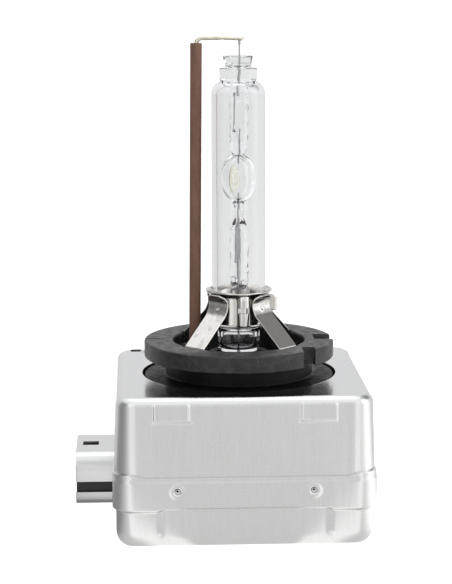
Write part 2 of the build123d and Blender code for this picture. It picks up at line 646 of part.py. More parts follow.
def return_contact():
    """Crimp sleeve on the return wire with a strap down to the lead frame."""
    x = tube_x(CONTACT_Z)
    sleeve, bore = contact_sleeve(WIRE_R + SHEET_GAP, x, 0)
    end_y = pin_rows()[0] - 3.2
    top = CASE_TOP_Z - SHEET_GAP
    strap = block((x - 1, x + 1), (end_y, 0), (top - STRIP_T, top))
    drop = block((x - 1, x + 1), (end_y, end_y + STRIP_T), (CASE_FLOOR_Z, top))
    return sleeve + strap + drop - bore


PARTS = {
    "outer_envelope": outer_envelope,
    "arc_tube": arc_tube,
    "halide_deposit": halide_deposit,
    "upper_electrode": upper_electrode,
    "lower_electrode": lower_electrode,
    "upper_foil": upper_foil,
    "lower_foil": lower_foil,
    "upper_lead": upper_lead,
    "lower_lead": lower_lead,
    "ceramic_tube": ceramic_tube,
    "return_wire": return_wire,
    "clamp_band": clamp_band,
    "cap_housing": cap_housing,
    "upper_cover": upper_cover,
    "lower_tray": lower_tray,
    "connector_shield": connector_shield,
    "connector_insert": connector_insert,
    "contact_pins": contact_pins,
    "igniter_case": igniter_case,
    "transformer_core": transformer_core,
    "transformer_bobbin": transformer_bobbin,
    "secondary_winding": secondary_winding,
    "primary_winding": primary_winding,
    "capacitor": capacitor,
    "spark_gap_body": spark_gap_body,
    "spark_gap_electrodes": spark_gap_electrodes,
    "bleeder_resistors": bleeder_resistors,
    "lead_frame": lead_frame,
    "hv_contact": hv_contact,
    "return_contact": return_contact,
}

os.makedirs("parts", exist_ok=True)
for name, make in PARTS.items():
    export_step(make(), f"parts/{name}.step")
for number, angle in enumerate(leg_angles(), 1):
    export_step(spring_leg(angle), f"parts/spring_leg_{number}.step")
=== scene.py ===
from math import cos, hypot, pi, radians, sin, tan

import bmesh
import bpy
from mathutils import Matrix, Vector, noise


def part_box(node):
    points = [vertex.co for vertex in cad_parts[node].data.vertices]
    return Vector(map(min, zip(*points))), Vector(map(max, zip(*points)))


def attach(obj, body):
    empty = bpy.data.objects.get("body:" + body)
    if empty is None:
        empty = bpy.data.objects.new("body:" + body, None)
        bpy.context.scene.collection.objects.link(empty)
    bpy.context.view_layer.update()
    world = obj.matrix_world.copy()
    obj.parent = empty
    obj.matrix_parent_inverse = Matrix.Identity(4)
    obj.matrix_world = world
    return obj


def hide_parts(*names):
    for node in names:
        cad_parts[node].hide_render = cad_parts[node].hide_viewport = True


bl_info = {
    "name": "Headlight Bulb",
    "version": (1, 0, 0),
    "blender": (4, 5, 0),
    "location": "View3D > Sidebar > Bulb",
    "description": "Builds the glass, metalwork and finishes of a gas-discharge headlight bulb",
    "category": "Add Mesh",
}

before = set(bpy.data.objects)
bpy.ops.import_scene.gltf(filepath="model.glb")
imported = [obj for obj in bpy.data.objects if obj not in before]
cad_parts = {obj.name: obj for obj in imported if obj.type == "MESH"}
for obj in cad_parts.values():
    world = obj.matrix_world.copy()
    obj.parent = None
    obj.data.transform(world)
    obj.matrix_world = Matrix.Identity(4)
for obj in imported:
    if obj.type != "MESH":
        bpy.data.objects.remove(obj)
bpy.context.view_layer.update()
MM = 0.001


def span(node, axis):
    """Lowest and highest coordinate of a CAD node along an axis, in millimetres."""
    low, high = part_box(node)
    return low[axis] / MM, high[axis] / MM


GLASS_FOOT_Z, GLASS_TOP_Z = span("outer_envelope", 2)
TUBE_FOOT_Z, TUBE_TOP_Z = span("ceramic_tube", 2)
CLAMP_LOW_Z, CLAMP_HIGH_Z = span("clamp_band", 2)
COVER_LOW_Z, COVER_TOP_Z = span("upper_cover", 2)
TRAY_LOW_Z, TRAY_TOP_Z = span("lower_tray", 2)
SHIELD_LOW_Z, SHIELD_TOP_Z = span("connector_shield", 2)
SHIELD_END_X, SHIELD_ROOT_X = span("connector_shield", 0)
COVER_HALF = span("upper_cover", 0)[1]
BAND_HALF = span("lower_tray", 0)[1]
PLUG_SLOT = span("connector_shield", 1)[1] + 0.2

# places and sizes in millimetres
CHAMBER_Z, CHAMBER_HALF, CAVITY_HALF = 27.3, 4.0, 3.2
STUB_FLOOR_Z = GLASS_TOP_Z - 2.1
LEAD_BEND_X = 0.22
WELL_FLOOR_Z = -6.45
LEG_TURNS = (45, 135, 225, 315)
COVER_LEAN = 0.42
COVER_HOLE_RADIUS = 16.39
PAD_MIDDLE, PAD_HALF_WIDTH, PAD_Z, PAD_HALF_HEIGHT = 11.85, 2.9, -8.15, 1.3
DIMPLE_MIDDLE, DIMPLE_Z = 10.95, -20.75
TRAY_STEP = 0.6
SLEEVE_HALF_WIDTH = 6.99


# ---- properties ---------------------------------------------------------------------------------
def length_prop(name, description, millimetres):
    return bpy.props.FloatProperty(name=name, description=description, default=millimetres * MM,
                                   unit="LENGTH", precision=5)


def colour_prop(name, description, colour):
    return bpy.props.FloatVectorProperty(name=name, description=description, default=colour,
                                         subtype="COLOR", size=3, min=0, max=1)


class BulbSizes(bpy.types.PropertyGroup):
    glass_radius: length_prop("Glass radius", "Outer radius of the outer glass tube", 4.5)
    glass_wall: length_prop("Glass wall", "Wall of the outer glass tube", 0.83)
    collar_radius: length_prop("Collar radius", "Radius of the glass collar under the open stub", 3.15)
    chamber_radius: length_prop("Chamber radius", "Outer radius of the arc chamber", 2.93)
    cavity_radius: length_prop("Cavity radius", "Inner radius of the arc chamber", 1.5)
    stem_radius: length_prop("Stem radius", "Radius of the quartz stems", 1.5)
    tube_radius: length_prop("Ceramic tube radius", "Radius of the brown ceramic tube", 0.97)
    wire_radius: length_prop("Wire radius", "Radius of the return wire", 0.35)
    clamp_sheet: length_prop("Clamp sheet", "Thickness of the clamp's spring steel", 0.25)
    leg_width: length_prop("Leg width", "Width of a spring leg at its foot", 4.3)
    ring_radius: length_prop("Ring radius", "Radius of the keyed cap ring", 16.0)
    ring_thickness: length_prop("Ring thickness", "Thickness of the keyed cap ring", 2.85)
    bore_radius: length_prop("Bore radius", "Radius of the well in the cap", 11.1)
    neck_radius: length_prop("Neck radius", "Radius of the neck under the ring", 12.4)
    sheet: length_prop("Box sheet", "Thickness of the aluminium box sheet", 0.5)
    corner_radius: length_prop("Corner radius", "Radius of the box's upright corners", 3.5)
    top_edge_radius: length_prop("Top edge radius", "Radius of the box's top edges", 1.4)
    bottom_edge_radius: length_prop("Bottom edge radius", "Radius of the box's bottom edges", 2.6)
    panel_depth: length_prop("Panel depth", "Depth of the recessed panels below the band", 0.8)
    pad_height: length_prop("Pad height", "How far the embossed pads stand out", 0.15)


class BulbColours(bpy.types.PropertyGroup):
    aluminium: colour_prop("Aluminium", "Box sheet", (0.72, 0.725, 0.715))
    steel: colour_prop("Spring steel", "Clamp and legs", (0.66, 0.64, 0.61))
    nickel: colour_prop("Nickel", "Return wire", (0.58, 0.55, 0.44))
    ceramic: colour_prop("Brown ceramic", "Return wire's insulating tube", (0.155, 0.082, 0.055))
    cap: colour_prop("Cap plastic", "Keyed ring and neck", (0.0045, 0.0047, 0.005))
    speck: colour_prop("Cap speck", "Pale filler grains in the cap plastic", (0.16, 0.16, 0.155))
    halide: colour_prop("Halide film and its painted glow", "Salt film in the arc chamber", (0.86, 0.84, 0.62))
    floor: colour_prop("Floor", "Studio floor", (0.90, 0.90, 0.90))


def sizes():
    """The bulb's sizes in millimetres, by name."""
    held = bpy.context.scene.bulb_sizes
    return {name: getattr(held, name) / MM for name in BulbSizes.__annotations__}


def colour(name):
    return (*getattr(bpy.context.scene.bulb_colours, name), 1.0)


# ---- outlines -----------------------------------------------------------------------------------
def spaced(start, stop, count):
    """Evenly spaced numbers from start to stop, both ends included."""
    return [start + (stop - start) * i / count for i in range(count + 1)]


def ramp(value, low, high):
    """Smooth step from 0 at low to 1 at high."""
    t = min(max((value - low) / (high - low), 0.0), 1.0)
    return t * t * (3 - 2 * t)


def plateau(value, half_width, edge):
    """1 inside a half width, falling smoothly to 0 over an edge outside it."""
    return 1 - ramp(abs(value), half_width, half_width + edge)


def rounded(corners, steps=5):
    """Polyline through points that end in a corner radius, with each corner turned into its arc."""
    path = [Vector(corners[0][:-1])]
    for before, here, after in zip(corners, corners[1:], corners[2:]):
        point, radius = Vector(here[:-1]), here[-1]
        back = (Vector(before[:-1]) - point).normalized()
        ahead = (Vector(after[:-1]) - point).normalized()
        half = back.angle(ahead) / 2
        if radius == 0:
            path.append(point)
            continue
        reach = radius / tan(half)
        centre = point + (back + ahead).normalized() * radius / sin(half)
        start, stop = point + back * reach - centre, point + ahead * reach - centre
        path += [centre + start.slerp(stop, t) * radius for t in spaced(0, 1, steps)]
    path.append(Vector(corners[-1][:-1]))
    return path


def around(count):
    """Evenly spaced angles round a full turn."""
    return spaced(0, 2 * pi, count)[:-1]


def oval(radius, half_height, middle_z, count):
    """Profile of an oval hollow from its top down, so that its faces look inwards."""
    return [(radius * cos(a), middle_z + half_height * sin(a)) for a in spaced(pi / 2, -pi / 2, count)]


def drift(x, y, z):
    """Smooth unevenness at a place, the same each time."""
    return noise.noise(Vector((x, y, z)))


def heading(path, i):
    """Direction of a path at one of its points."""
    return (path[min(i + 1, len(path) - 1)] - path[max(i - 1, 0)]).normalized()


def turned_xy(points, degrees):
    """Points turned about the Z axis."""
    turn = Matrix.Rotation(radians(degrees), 3, "Z")
    return [turn @ Vector(point) for point in points]


# ---- meshes -------------------------------------------------------------------------------------
def skin(rings, wrap=True, loop=False, caps=False):
    """Points and faces over rings of points, each ring joined to the next."""
    count = len(rings[0])
    points = [point for ring in rings for point in ring]
    faces = []
    for i in range(len(rings) if loop else len(rings) - 1):
        low, high = i * count, (i + 1) % len(rings) * count
        for j in range(count if wrap else count - 1):
            k = (j + 1) % count
            faces.append((low + j, low + k, high + k, high + j))
    if caps:
        faces += [tuple(reversed(range(count))), tuple(range(len(points) - count, len(points)))]
    return points, faces


def turning(profile, turns=96, loop=False):
    """Points and faces of a (radius, height) profile turned about Z."""
    return skin([[(r * cos(a), r * sin(a), z) for a in around(turns)] for r, z in profile], loop=loop)


def joined(*parts):
    """Several (points, faces) pairs as one."""
    points, faces = [], []
    for some_points, some_faces in parts:
        start = len(points)
        points += list(some_points)
        faces += [tuple(start + i for i in face) for face in some_faces]
    return points, faces


def new_piece(name, part):
    """Mesh object from (points, faces) in millimetres, with coincident points welded."""
    points, faces = part
    mesh = bpy.data.meshes.new(name)
    mesh.from_pydata([Vector(point) * MM for point in points], [], faces)
    edit_mesh(mesh, lambda bm: bmesh.ops.remove_doubles(bm, verts=bm.verts, dist=0.002 * MM))
    piece = bpy.data.objects.new(name, mesh)
    bpy.context.scene.collection.objects.link(piece)
    return piece


def edit_mesh(mesh, change):
    """Makes a change to a mesh in its editable form."""
    bm = bmesh.new()
    bm.from_mesh(mesh)
    change(bm)
    bm.to_mesh(mesh)
    bm.free()


def settle(piece):
    """Applies a piece's modifiers to its mesh."""
    bpy.context.view_layer.update()
    graph = bpy.context.evaluated_depsgraph_get()
    mesh = bpy.data.meshes.new_from_object(piece.evaluated_get(graph))
    piece.modifiers.clear()
    piece.data = mesh


def thicken(piece, thickness, edge, offset=-1.0):
    """Gives a sheet piece its thickness and rounds its cut edges."""
    solid = piece.modifiers.new("thickness", "SOLIDIFY")
    solid.thickness = thickness * MM
    solid.offset = offset
    soften(piece, edge)


def soften(piece, width, angle=50.0):
    """Rounds a piece's sharp edges and applies its modifiers."""
    bevel = piece.modifiers.new("edges", "BEVEL")
    bevel.width = width * MM
    bevel.segments = 2
    bevel.limit_method = "ANGLE"
    bevel.angle_limit = radians(angle)
    settle(piece)


def block_tool(x, y, z, corner=0.0, turn=0.0):
    """Upright cutting block between (low, high) pairs, with rounded upright edges."""
    (x0, x1), (y0, y1) = x, y
    outline = [(x0, y0), (x1, y0), (x1, y1), (x0, y1)]
    if corner:
        ring = [((x0 + x1) / 2, y0, 0), (x1, y0, corner), (x1, y1, corner), (x0, y1, corner),
                (x0, y0, corner), ((x0 + x1) / 2, y0, 0)]
        outline = rounded(ring)[:-1]
    rings = [turned_xy([(px, py, height) for px, py in outline], turn) for height in z]
    return new_piece("tool", skin(rings, caps=True))


def carve(piece, *tools):
    """Cuts tools out of a piece and removes them."""
    for tool in tools:
        cut = piece.modifiers.new("cut", "BOOLEAN")
        cut.object = tool
        cut.solver = "EXACT"
    settle(piece)
    for tool in tools:
        bpy.data.objects.remove(tool)


def open_up(piece, inside):
    """Takes out the faces whose middle passes a test given in millimetres."""
    def cut(bm):
        doomed = [face for face in bm.faces if inside(*(face.calc_center_median() / MM))]
        bmesh.ops.delete(bm, geom=doomed, context="FACES")

    edit_mesh(piece.data, cut)


def finish_piece(piece, material, slot, *nodes, crease=35.0):
    """Shades a piece, gives it its finish, and stands it in for CAD nodes on the bulb's one body."""
    mesh = piece.data
    mesh.materials.clear()
    mesh.materials.append(material)
    mesh.shade_smooth()
    mesh.set_sharp_from_angle(angle=radians(crease))
    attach(piece, "root")
    if nodes:
        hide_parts(*nodes)


def coat_node(node, material):
    """Gives a carried CAD node its finish."""
    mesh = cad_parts[node].data
    mesh.materials.clear()
    mesh.materials.append(material)


# ---- shader nodes -------------------------------------------------------------------------------
def add_node(tree, kind, inputs=None, **settings):
    """New shader node. Inputs are numbers, colours or sockets to link, by socket name or place."""
    made = tree.nodes.new(kind)
    for name, value in settings.items():
        setattr(made, name, value)
    for name, value in (inputs or {}).items():
        if isinstance(value, bpy.types.NodeSocket):
            tree.links.new(value, made.inputs[name])
        else:
            made.inputs[name].default_value = value
    return made


def new_group(name, inputs, outputs):
    """Shader node group with named float sockets; returns it with its two ends."""
    tree = bpy.data.node_groups.new(name, "ShaderNodeTree")
    for label, default in inputs.items():
        socket = tree.interface.new_socket(label, in_out="INPUT", socket_type="NodeSocketFloat")
        socket.default_value = default
    for label in outputs:
        tree.interface.new_socket(label, in_out="OUTPUT", socket_type="NodeSocketFloat")
    return tree, tree.nodes.new("NodeGroupInput"), tree.nodes.new("NodeGroupOutput")


def maths(tree, operation, *values, clamp=False):
    made = add_node(tree, "ShaderNodeMath", dict(enumerate(values)), operation=operation, use_clamp=clamp)
    return made.outputs[0]


def remapped(tree, value, low, high, to_low=0.0, to_high=1.0):
    made = add_node(tree, "ShaderNodeMapRange", {0: value, 1: low, 2: high, 3: to_low, 4: to_high})
    made.interpolation_type = "SMOOTHSTEP"
    return made.outputs[0]


def grain_group():
    """Drawn grain: noise stretched along one direction, fine and coarse together."""
    tree, ends, out = new_group("Drawn Grain", {"Scale": 1.0, "Stretch X": 1.0, "Stretch Y": 1.0,
                                                "Stretch Z": 0.05}, ["Fine", "Coarse"])
    place = add_node(tree, "ShaderNodeTexCoord")
    stretch = add_node(tree, "ShaderNodeCombineXYZ", {i: ends.outputs[i + 1] for i in range(3)})
    vector = add_node(tree, "ShaderNodeVectorMath", {0: place.outputs["Object"], 1: stretch.outputs[0]},
                      operation="MULTIPLY")
    for label, size, detail in (("Fine", 5200.0, 3.0), ("Coarse", 900.0, 2.0)):
        scale = maths(tree, "MULTIPLY", ends.outputs["Scale"], size)
        field = add_node(tree, "ShaderNodeTexNoise", {"Vector": vector.outputs[0], "Scale": scale,
                                                      "Detail": detail, "Roughness": 0.6})
        tree.links.new(field.outputs[0], out.inputs[label])
    return tree


def smudge_group():
    """Broad uneven patches, for handling marks and uneven finish."""
    tree, ends, out = new_group("Smudges", {"Scale": 1.0, "Low": 0.35, "High": 0.7}, ["Mask"])
    place = add_node(tree, "ShaderNodeTexCoord")
    scale = maths(tree, "MULTIPLY", ends.outputs["Scale"], 130.0)
    field = add_node(tree, "ShaderNodeTexNoise", {"Vector": place.outputs["Object"], "Scale": scale,
                                                  "Detail": 5.0, "Roughness": 0.62, "Distortion": 0.6})
    mask = remapped(tree, field.outputs[0], ends.outputs["Low"], ends.outputs["High"])
    tree.links.new(mask, out.inputs["Mask"])
    return tree


def speck_group():
    """Small scattered specks: the middles of random cells, thinned out by a threshold."""
    tree, ends, out = new_group("Specks", {"Scale": 1.0, "Size": 0.25, "Share": 0.3}, ["Mask"])
    place = add_node(tree, "ShaderNodeTexCoord")
    scale = maths(tree, "MULTIPLY", ends.outputs["Scale"], 1500.0)
    cells = add_node(tree, "ShaderNodeTexVoronoi", {"Vector": place.outputs["Object"], "Scale": scale,
                                                    "Randomness": 1.0})
    split = add_node(tree, "ShaderNodeSeparateColor", {0: cells.outputs["Color"]})
    chosen = maths(tree, "LESS_THAN", split.outputs[0], ends.outputs["Share"])
    edge = maths(tree, "MULTIPLY", ends.outputs["Size"], split.outputs[1])
    spot = remapped(tree, cells.outputs["Distance"], edge, 0.0)
    tree.links.new(maths(tree, "MULTIPLY", chosen, spot), out.inputs["Mask"])
    return tree


def wear_group():
    """Edge wear: convex edges picked out unevenly."""
    tree, ends, out = new_group("Edge Wear", {"Low": 0.52, "High": 0.62, "Breakup": 0.5}, ["Mask"])
    place = add_node(tree, "ShaderNodeTexCoord")
    shape = add_node(tree, "ShaderNodeNewGeometry")
    field = add_node(tree, "ShaderNodeTexNoise", {"Vector": place.outputs["Object"], "Scale": 1400.0,
                                                  "Detail": 4.0})
    edge = remapped(tree, shape.outputs["Pointiness"], ends.outputs["Low"], ends.outputs["High"])
    broken = remapped(tree, field.outputs[0], 0.3, 0.7)
    keep = maths(tree, "SUBTRACT", 1.0, maths(tree, "MULTIPLY", ends.outputs["Breakup"], broken))
    tree.links.new(maths(tree, "MULTIPLY", edge, keep), out.inputs["Mask"])
    return tree


def studio_group():
    """Studio brightness by level direction: dark flag at the left, bright screen at the right, front strips."""
    tree, ends, out = new_group("Studio Shade", {"X": 0.0, "Y": 0.0}, ["Value"])
    x, y = ends.outputs["X"], ends.outputs["Y"]
    aim = maths(tree, "MULTIPLY", maths(tree, "ARCTAN2", x, maths(tree, "MULTIPLY", y, -1.0)), 180 / pi)
    flag = maths(tree, "ABSOLUTE", maths(tree, "ADD", aim, 80.0))
    value = remapped(tree, flag, 12.0, 42.0, 0.24, 0.79)
    screen = maths(tree, "MULTIPLY", remapped(tree, aim, 40.0, 66.0), remapped(tree, aim, 112.0, 84.0))
    value = maths(tree, "ADD", value, maths(tree, "MULTIPLY", screen, 0.75))
    aside = maths(tree, "ABSOLUTE", aim)
    strips = maths(tree, "MULTIPLY", remapped(tree, aside, 21.0, 26.0), remapped(tree, aside, 41.0, 35.0))
    value = maths(tree, "ADD", value, maths(tree, "MULTIPLY", strips, 0.5))
    tree.links.new(value, out.inputs["Value"])
    return tree


GROUP_MAKERS = {"Drawn Grain": grain_group, "Smudges": smudge_group, "Specks": speck_group,
                "Edge Wear": wear_group, "Studio Shade": studio_group}


def use_group(tree, name, **values):
    """Places a shared effect in a material with its own values, and returns its outputs."""
    shared = bpy.data.node_groups.get(name) or GROUP_MAKERS[name]()
    inputs = {key.replace("_", " "): value for key, value in values.items()}
    return add_node(tree, "ShaderNodeGroup", inputs, node_tree=shared).outputs


def blend_colour(tree, share, first, second):
    return add_node(tree, "ShaderNodeMix", {0: share, 6: first, 7: second}, data_type="RGBA").outputs[2]


def layered(tree, base, *layers):
    """A colour under layers, each given as its mask, its strength and its colour."""
    for mask, strength, tone in layers:
        base = blend_colour(tree, maths(tree, "MULTIPLY", mask, strength), base, tone)
    return base


def bump(tree, height, depth, strength, under=None):
    """Normal from a height that runs 0 to 1, as deep as depth in millimetres."""
    inputs = {"Height": height, "Distance": depth * MM, "Strength": strength}
    if under is not None:
        inputs["Normal"] = under
    return add_node(tree, "ShaderNodeBump", inputs).outputs[0]


def new_material(name, **principled):
    """Material with a Principled shader whose plain values are given; returns material, tree, shader."""
    material = bpy.data.materials.new(name)
    material.use_nodes = True
    tree = material.node_tree
    shader = tree.nodes["Principled BSDF"]
    for key, value in principled.items():
        shader.inputs[key.replace("_", " ")].default_value = value
    return material, tree, shader


def wire_up(tree, shader, **links):
    for key, socket in links.items():
        tree.links.new(socket, shader.inputs[key.replace("_", " ")])


def darker(tone, share):
    return (*[channel * share for channel in tone[:3]], 1.0)


# ---- finishes -----------------------------------------------------------------------------------
def sheet_metal(name, tone, rough, stretch, depth, wear=0.25):
    """Drawn aluminium: fine grain one way, faint smudges, brighter rubbed edges and a shinier flat top."""
    material, tree, shader = new_material(name, Metallic=1.0, Anisotropic=0.25)
    grain = use_group(tree, "Drawn Grain", Scale=1.0, Stretch_X=stretch[0], Stretch_Y=stretch[1],
                      Stretch_Z=stretch[2])
    smudge = use_group(tree, "Smudges", Scale=1.0, Low=0.3, High=0.75)["Mask"]
    pits = use_group(tree, "Specks", Scale=0.7, Size=0.22, Share=0.10)["Mask"]
    edge = use_group(tree, "Edge Wear", Low=0.53, High=0.60, Breakup=0.6)["Mask"]
    streak = remapped(tree, grain["Fine"], 0.25, 0.75)
    base = blend_colour(tree, streak, darker(tone, 0.95), tone)
    base = layered(tree, base, (smudge, 0.3, darker(tone, 0.93)), (pits, 0.3, darker(tone, 0.6)),
                   (edge, wear, (0.96, 0.96, 0.95, 1.0)))
    roughness = maths(tree, "ADD", remapped(tree, grain["Coarse"], 0.3, 0.7, rough - 0.03, rough + 0.03),
                      maths(tree, "MULTIPLY", smudge, 0.04))
    facing = add_node(tree, "ShaderNodeSeparateXYZ",
                      {0: add_node(tree, "ShaderNodeNewGeometry").outputs["Normal"]}).outputs[2]
    pressed = remapped(tree, facing, 0.90, 0.99, 1.0, 0.62)
    roughness = maths(tree, "MULTIPLY", roughness, pressed)
    normal = bump(tree, grain["Fine"], depth, 0.3)
    normal = bump(tree, pits, -depth, 0.4, normal)
    wire_up(tree, shader, Base_Color=base, Roughness=roughness, Normal=normal)
    return material


def spring_steel():
    """Bright strip: faint rolling lines, smudges and a few scratches."""
    tone = colour("steel")
    material, tree, shader = new_material("Spring steel", Metallic=1.0, Anisotropic=0.3)
    grain = use_group(tree, "Drawn Grain", Scale=0.8, Stretch_Z=0.12)
    smudge = use_group(tree, "Smudges", Scale=3.0, Low=0.35, High=0.75)["Mask"]
    edge = use_group(tree, "Edge Wear", Low=0.53, High=0.62, Breakup=0.4)["Mask"]
    base = blend_colour(tree, remapped(tree, grain["Fine"], 0.3, 0.7), darker(tone, 0.88), tone)
    base = layered(tree, base, (smudge, 0.06, (0.46, 0.42, 0.36, 1.0)), (edge, 0.5, (0.9, 0.88, 0.85, 1.0)))
    roughness = remapped(tree, grain["Fine"], 0.3, 0.7, 0.13, 0.17)
    wire_up(tree, shader, Base_Color=base, Roughness=roughness, Normal=bump(tree, grain["Fine"], 0.006, 0.4))
    return material


def cap_plastic(name, gloss, grains):
    """Black mineral-filled moulding: pale grains, dusty patches and rubbed edges."""
    tone, grain_tone = colour("cap"), darker(colour("speck"), grains)
    material, tree, shader = new_material(name, IOR=1.5, Specular_IOR_Level=gloss)
    fine = use_group(tree, "Specks", Scale=2.0, Size=0.45, Share=0.32)["Mask"]
    broad = use_group(tree, "Specks", Scale=0.6, Size=0.16, Share=0.10)["Mask"]
    dust = use_group(tree, "Smudges", Scale=4.5, Low=0.40, High=0.72)["Mask"]
    grain = use_group(tree, "Drawn Grain", Scale=0.8, Stretch_Z=0.8)
    edge = use_group(tree, "Edge Wear", Low=0.52, High=0.60, Breakup=0.7)["Mask"]
    mottle = remapped(tree, grain["Coarse"], 0.3, 0.75)
    base = blend_colour(tree, mottle, darker(tone, 0.7), darker(tone, 1.7))
    base = layered(tree, base, (dust, 0.22, darker(grain_tone, 0.5)), (fine, 0.5, darker(grain_tone, 0.8)),
                   (broad, 0.9, darker(grain_tone, 2.0)), (edge, 0.35, darker(grain_tone, 0.6)))
    roughness = remapped(tree, grain["Coarse"], 0.3, 0.7, 0.33, 0.50)
    normal = bump(tree, grain["Fine"], 0.045, 0.8)
    normal = bump(tree, fine, 0.04, 0.8, normal)
    wire_up(tree, shader, Base_Color=base, Roughness=roughness, Normal=normal)
    return material


def brown_ceramic():
    """Matte fired tube with darker iron specks and a faint length-wise drag."""
    tone = colour("ceramic")
    material, tree, shader = new_material("Brown ceramic", IOR=1.5)
    grain = use_group(tree, "Drawn Grain", Stretch_Z=0.25)
    specks = use_group(tree, "Specks", Scale=2.2, Size=0.5, Share=0.35)["Mask"]
    patch = use_group(tree, "Smudges", Scale=2.0, Low=0.3, High=0.75)["Mask"]
    drag = remapped(tree, grain["Coarse"], 0.3, 0.7)
    base = blend_colour(tree, drag, darker(tone, 0.85), darker(tone, 1.15))
    base = layered(tree, base, (patch, 0.35, (0.19, 0.085, 0.052, 1.0)), (specks, 0.5, darker(tone, 0.45)))
    wire_up(tree, shader, Base_Color=base, Roughness=remapped(tree, grain["Fine"], 0.3, 0.7, 0.6, 0.85),
            Normal=bump(tree, grain["Fine"], 0.02, 0.6))
    return material


def clear_glass(name, tint, ripple, depth):
    """Clear glass with a slow drawn ripple in its surface."""
    material, tree, shader = new_material(name, Transmission_Weight=1.0, IOR=1.46)
    grain = use_group(tree, "Drawn Grain", Scale=ripple, Stretch_Z=0.15)
    streak = remapped(tree, grain["Coarse"], 0.2, 0.8)
    base = blend_colour(tree, streak, tint, (1.0, 1.0, 1.0, 1.0))
    haze = remapped(tree, grain["Fine"], 0.4, 0.9, 0.0, 0.015)
    wire_up(tree, shader, Base_Color=base, Roughness=haze, Normal=bump(tree, grain["Coarse"], depth, 0.5))
    return material


def glowing_halide_film():
    """Thin uneven film of pale yellow salts that glows in its own colour: painted light standing in for the
    light that reaches it through the glass.
    """
    tone = colour("halide")
    # the emission is painted light: the film glows in its own colour though it is no lamp
    material, tree, shader = new_material("Halide film and its painted glow", Roughness=0.5, IOR=1.5, Emission_Strength=0.42)
    patch = use_group(tree, "Smudges", Scale=9.0, Low=0.3, High=0.7)["Mask"]
    grain = use_group(tree, "Drawn Grain", Stretch_Z=1.0)
    base = blend_colour(tree, patch, tone, (0.95, 0.94, 0.85, 1.0))
    wire_up(tree, shader, Base_Color=base, Emission_Color=base,
            Alpha=remapped(tree, patch, 0.0, 1.0, 0.25, 0.5), Normal=bump(tree, grain["Fine"], 0.01, 0.4))
    return material


def plain_finish(name, tone, second, rough, metallic, stretch=1.0, depth=0.01):
    """Two-toned finish with grain, specks and uneven gloss, for the smaller and inner parts."""
    material, tree, shader = new_material(name, Metallic=metallic)
    grain = use_group(tree, "Drawn Grain", Stretch_Z=stretch)
    speck = use_group(tree, "Specks", Scale=1.5, Size=0.4, Share=0.15)["Mask"]
    edge = use_group(tree, "Edge Wear", Low=0.53, High=0.62, Breakup=0.5)["Mask"]
    base = blend_colour(tree, remapped(tree, grain["Coarse"], 0.3, 0.7), (*tone, 1.0), (*second, 1.0))
    base = layered(tree, base, (speck, 0.5, darker(tone, 0.5)), (edge, 0.3, darker(second, 1.4)))
    roughness = remapped(tree, grain["Fine"], 0.25, 0.75, rough - 0.06, rough + 0.06)
    wire_up(tree, shader, Base_Color=base, Roughness=roughness, Normal=bump(tree, grain["Fine"], depth, 0.6))
    return material


# ---- burner -------------------------------------------------------------------------------------
def envelope_profile(size):
    """Outside of the outer glass, from the middle of its foot up to the floor of the open stub."""
    radius, collar, foot_z = size["glass_radius"], size["collar_radius"], GLASS_FOOT_Z
    bend = 2.5
    rim_z = GLASS_TOP_Z
    shoulder_z = rim_z - 6.5
    shoulder = [Vector((radius - bend + bend * cos(a), shoulder_z + bend * sin(a)))
                for a in spaced(0, radians(62), 14)]
    low = rounded([(0, foot_z, 0), (3.45, foot_z, 1.1), (3.6, 2.3, 0.5), (4.4, 2.95, 0.3), (radius, 4.0, 0)])
    top = rounded([(collar - 0.22, rim_z - 4.22, 0), (collar - 0.02, rim_z - 3.95, 0.08),
                   (collar, rim_z - 2.12, 0.2), (2.1, rim_z - 2.08, 0.12),
                   (2.52, rim_z, 0.16), (2.12, rim_z, 0.16), (1.72, rim_z - 1.7, 0.3),
                   (1.0, rim_z - 2.05, 0.2), (0, rim_z - 2.1, 0)])
    return low + shoulder + top


def envelope_room(size):
    """Inside of the outer glass, from its roof down to its floor, so that it faces the air in it."""
    radius = size["glass_radius"] - size["glass_wall"]
    roof_z, floor_z = GLASS_TOP_Z - 4.83, CLAMP_LOW_Z + size["glass_wall"]
    return rounded([(0, roof_z, 0), (radius, roof_z, 1.67), (radius, floor_z, 0.8), (0, floor_z, 0)], steps=12)


def uneven_stub(point):
    """The open stub leans a little and its rim is drawn unevenly."""
    x, y, z = point
    share = ramp(z, STUB_FLOOR_Z, GLASS_TOP_Z)
    angle = drift(x * 0.6, y * 0.6, 3.1)
    return x - 0.06 * share, y, z - share * (0.12 + 0.16 * angle)


class BULB_OT_outer_envelope(bpy.types.Operator):
    """Outer glass tube with its shoulder, collar, open stub and closed foot"""
    bl_idname = "bulb.outer_envelope"
    bl_label = "Outer Envelope"

    def execute(self, context):
        size = sizes()
        outside, faces = turning(envelope_profile(size), 128)
        outside = [uneven_stub(point) if point[2] > STUB_FLOOR_Z else point for point in outside]
        hollow = rounded([(0, 2.1, 0), (2.75, 2.1, 0.9), (2.75, -1.5, 0.9), (0, -1.5, 0)], steps=8)
        piece = new_piece("outer_glass", joined((outside, faces), turning(envelope_room(size), 128),
                                                turning(hollow, 96)))
        glass = clear_glass("Envelope glass", (0.945, 0.955, 0.955, 1.0), 0.25, 0.004)
        finish_piece(piece, glass, "envelope_glass", "outer_envelope", crease=60)
        return {"FINISHED"}


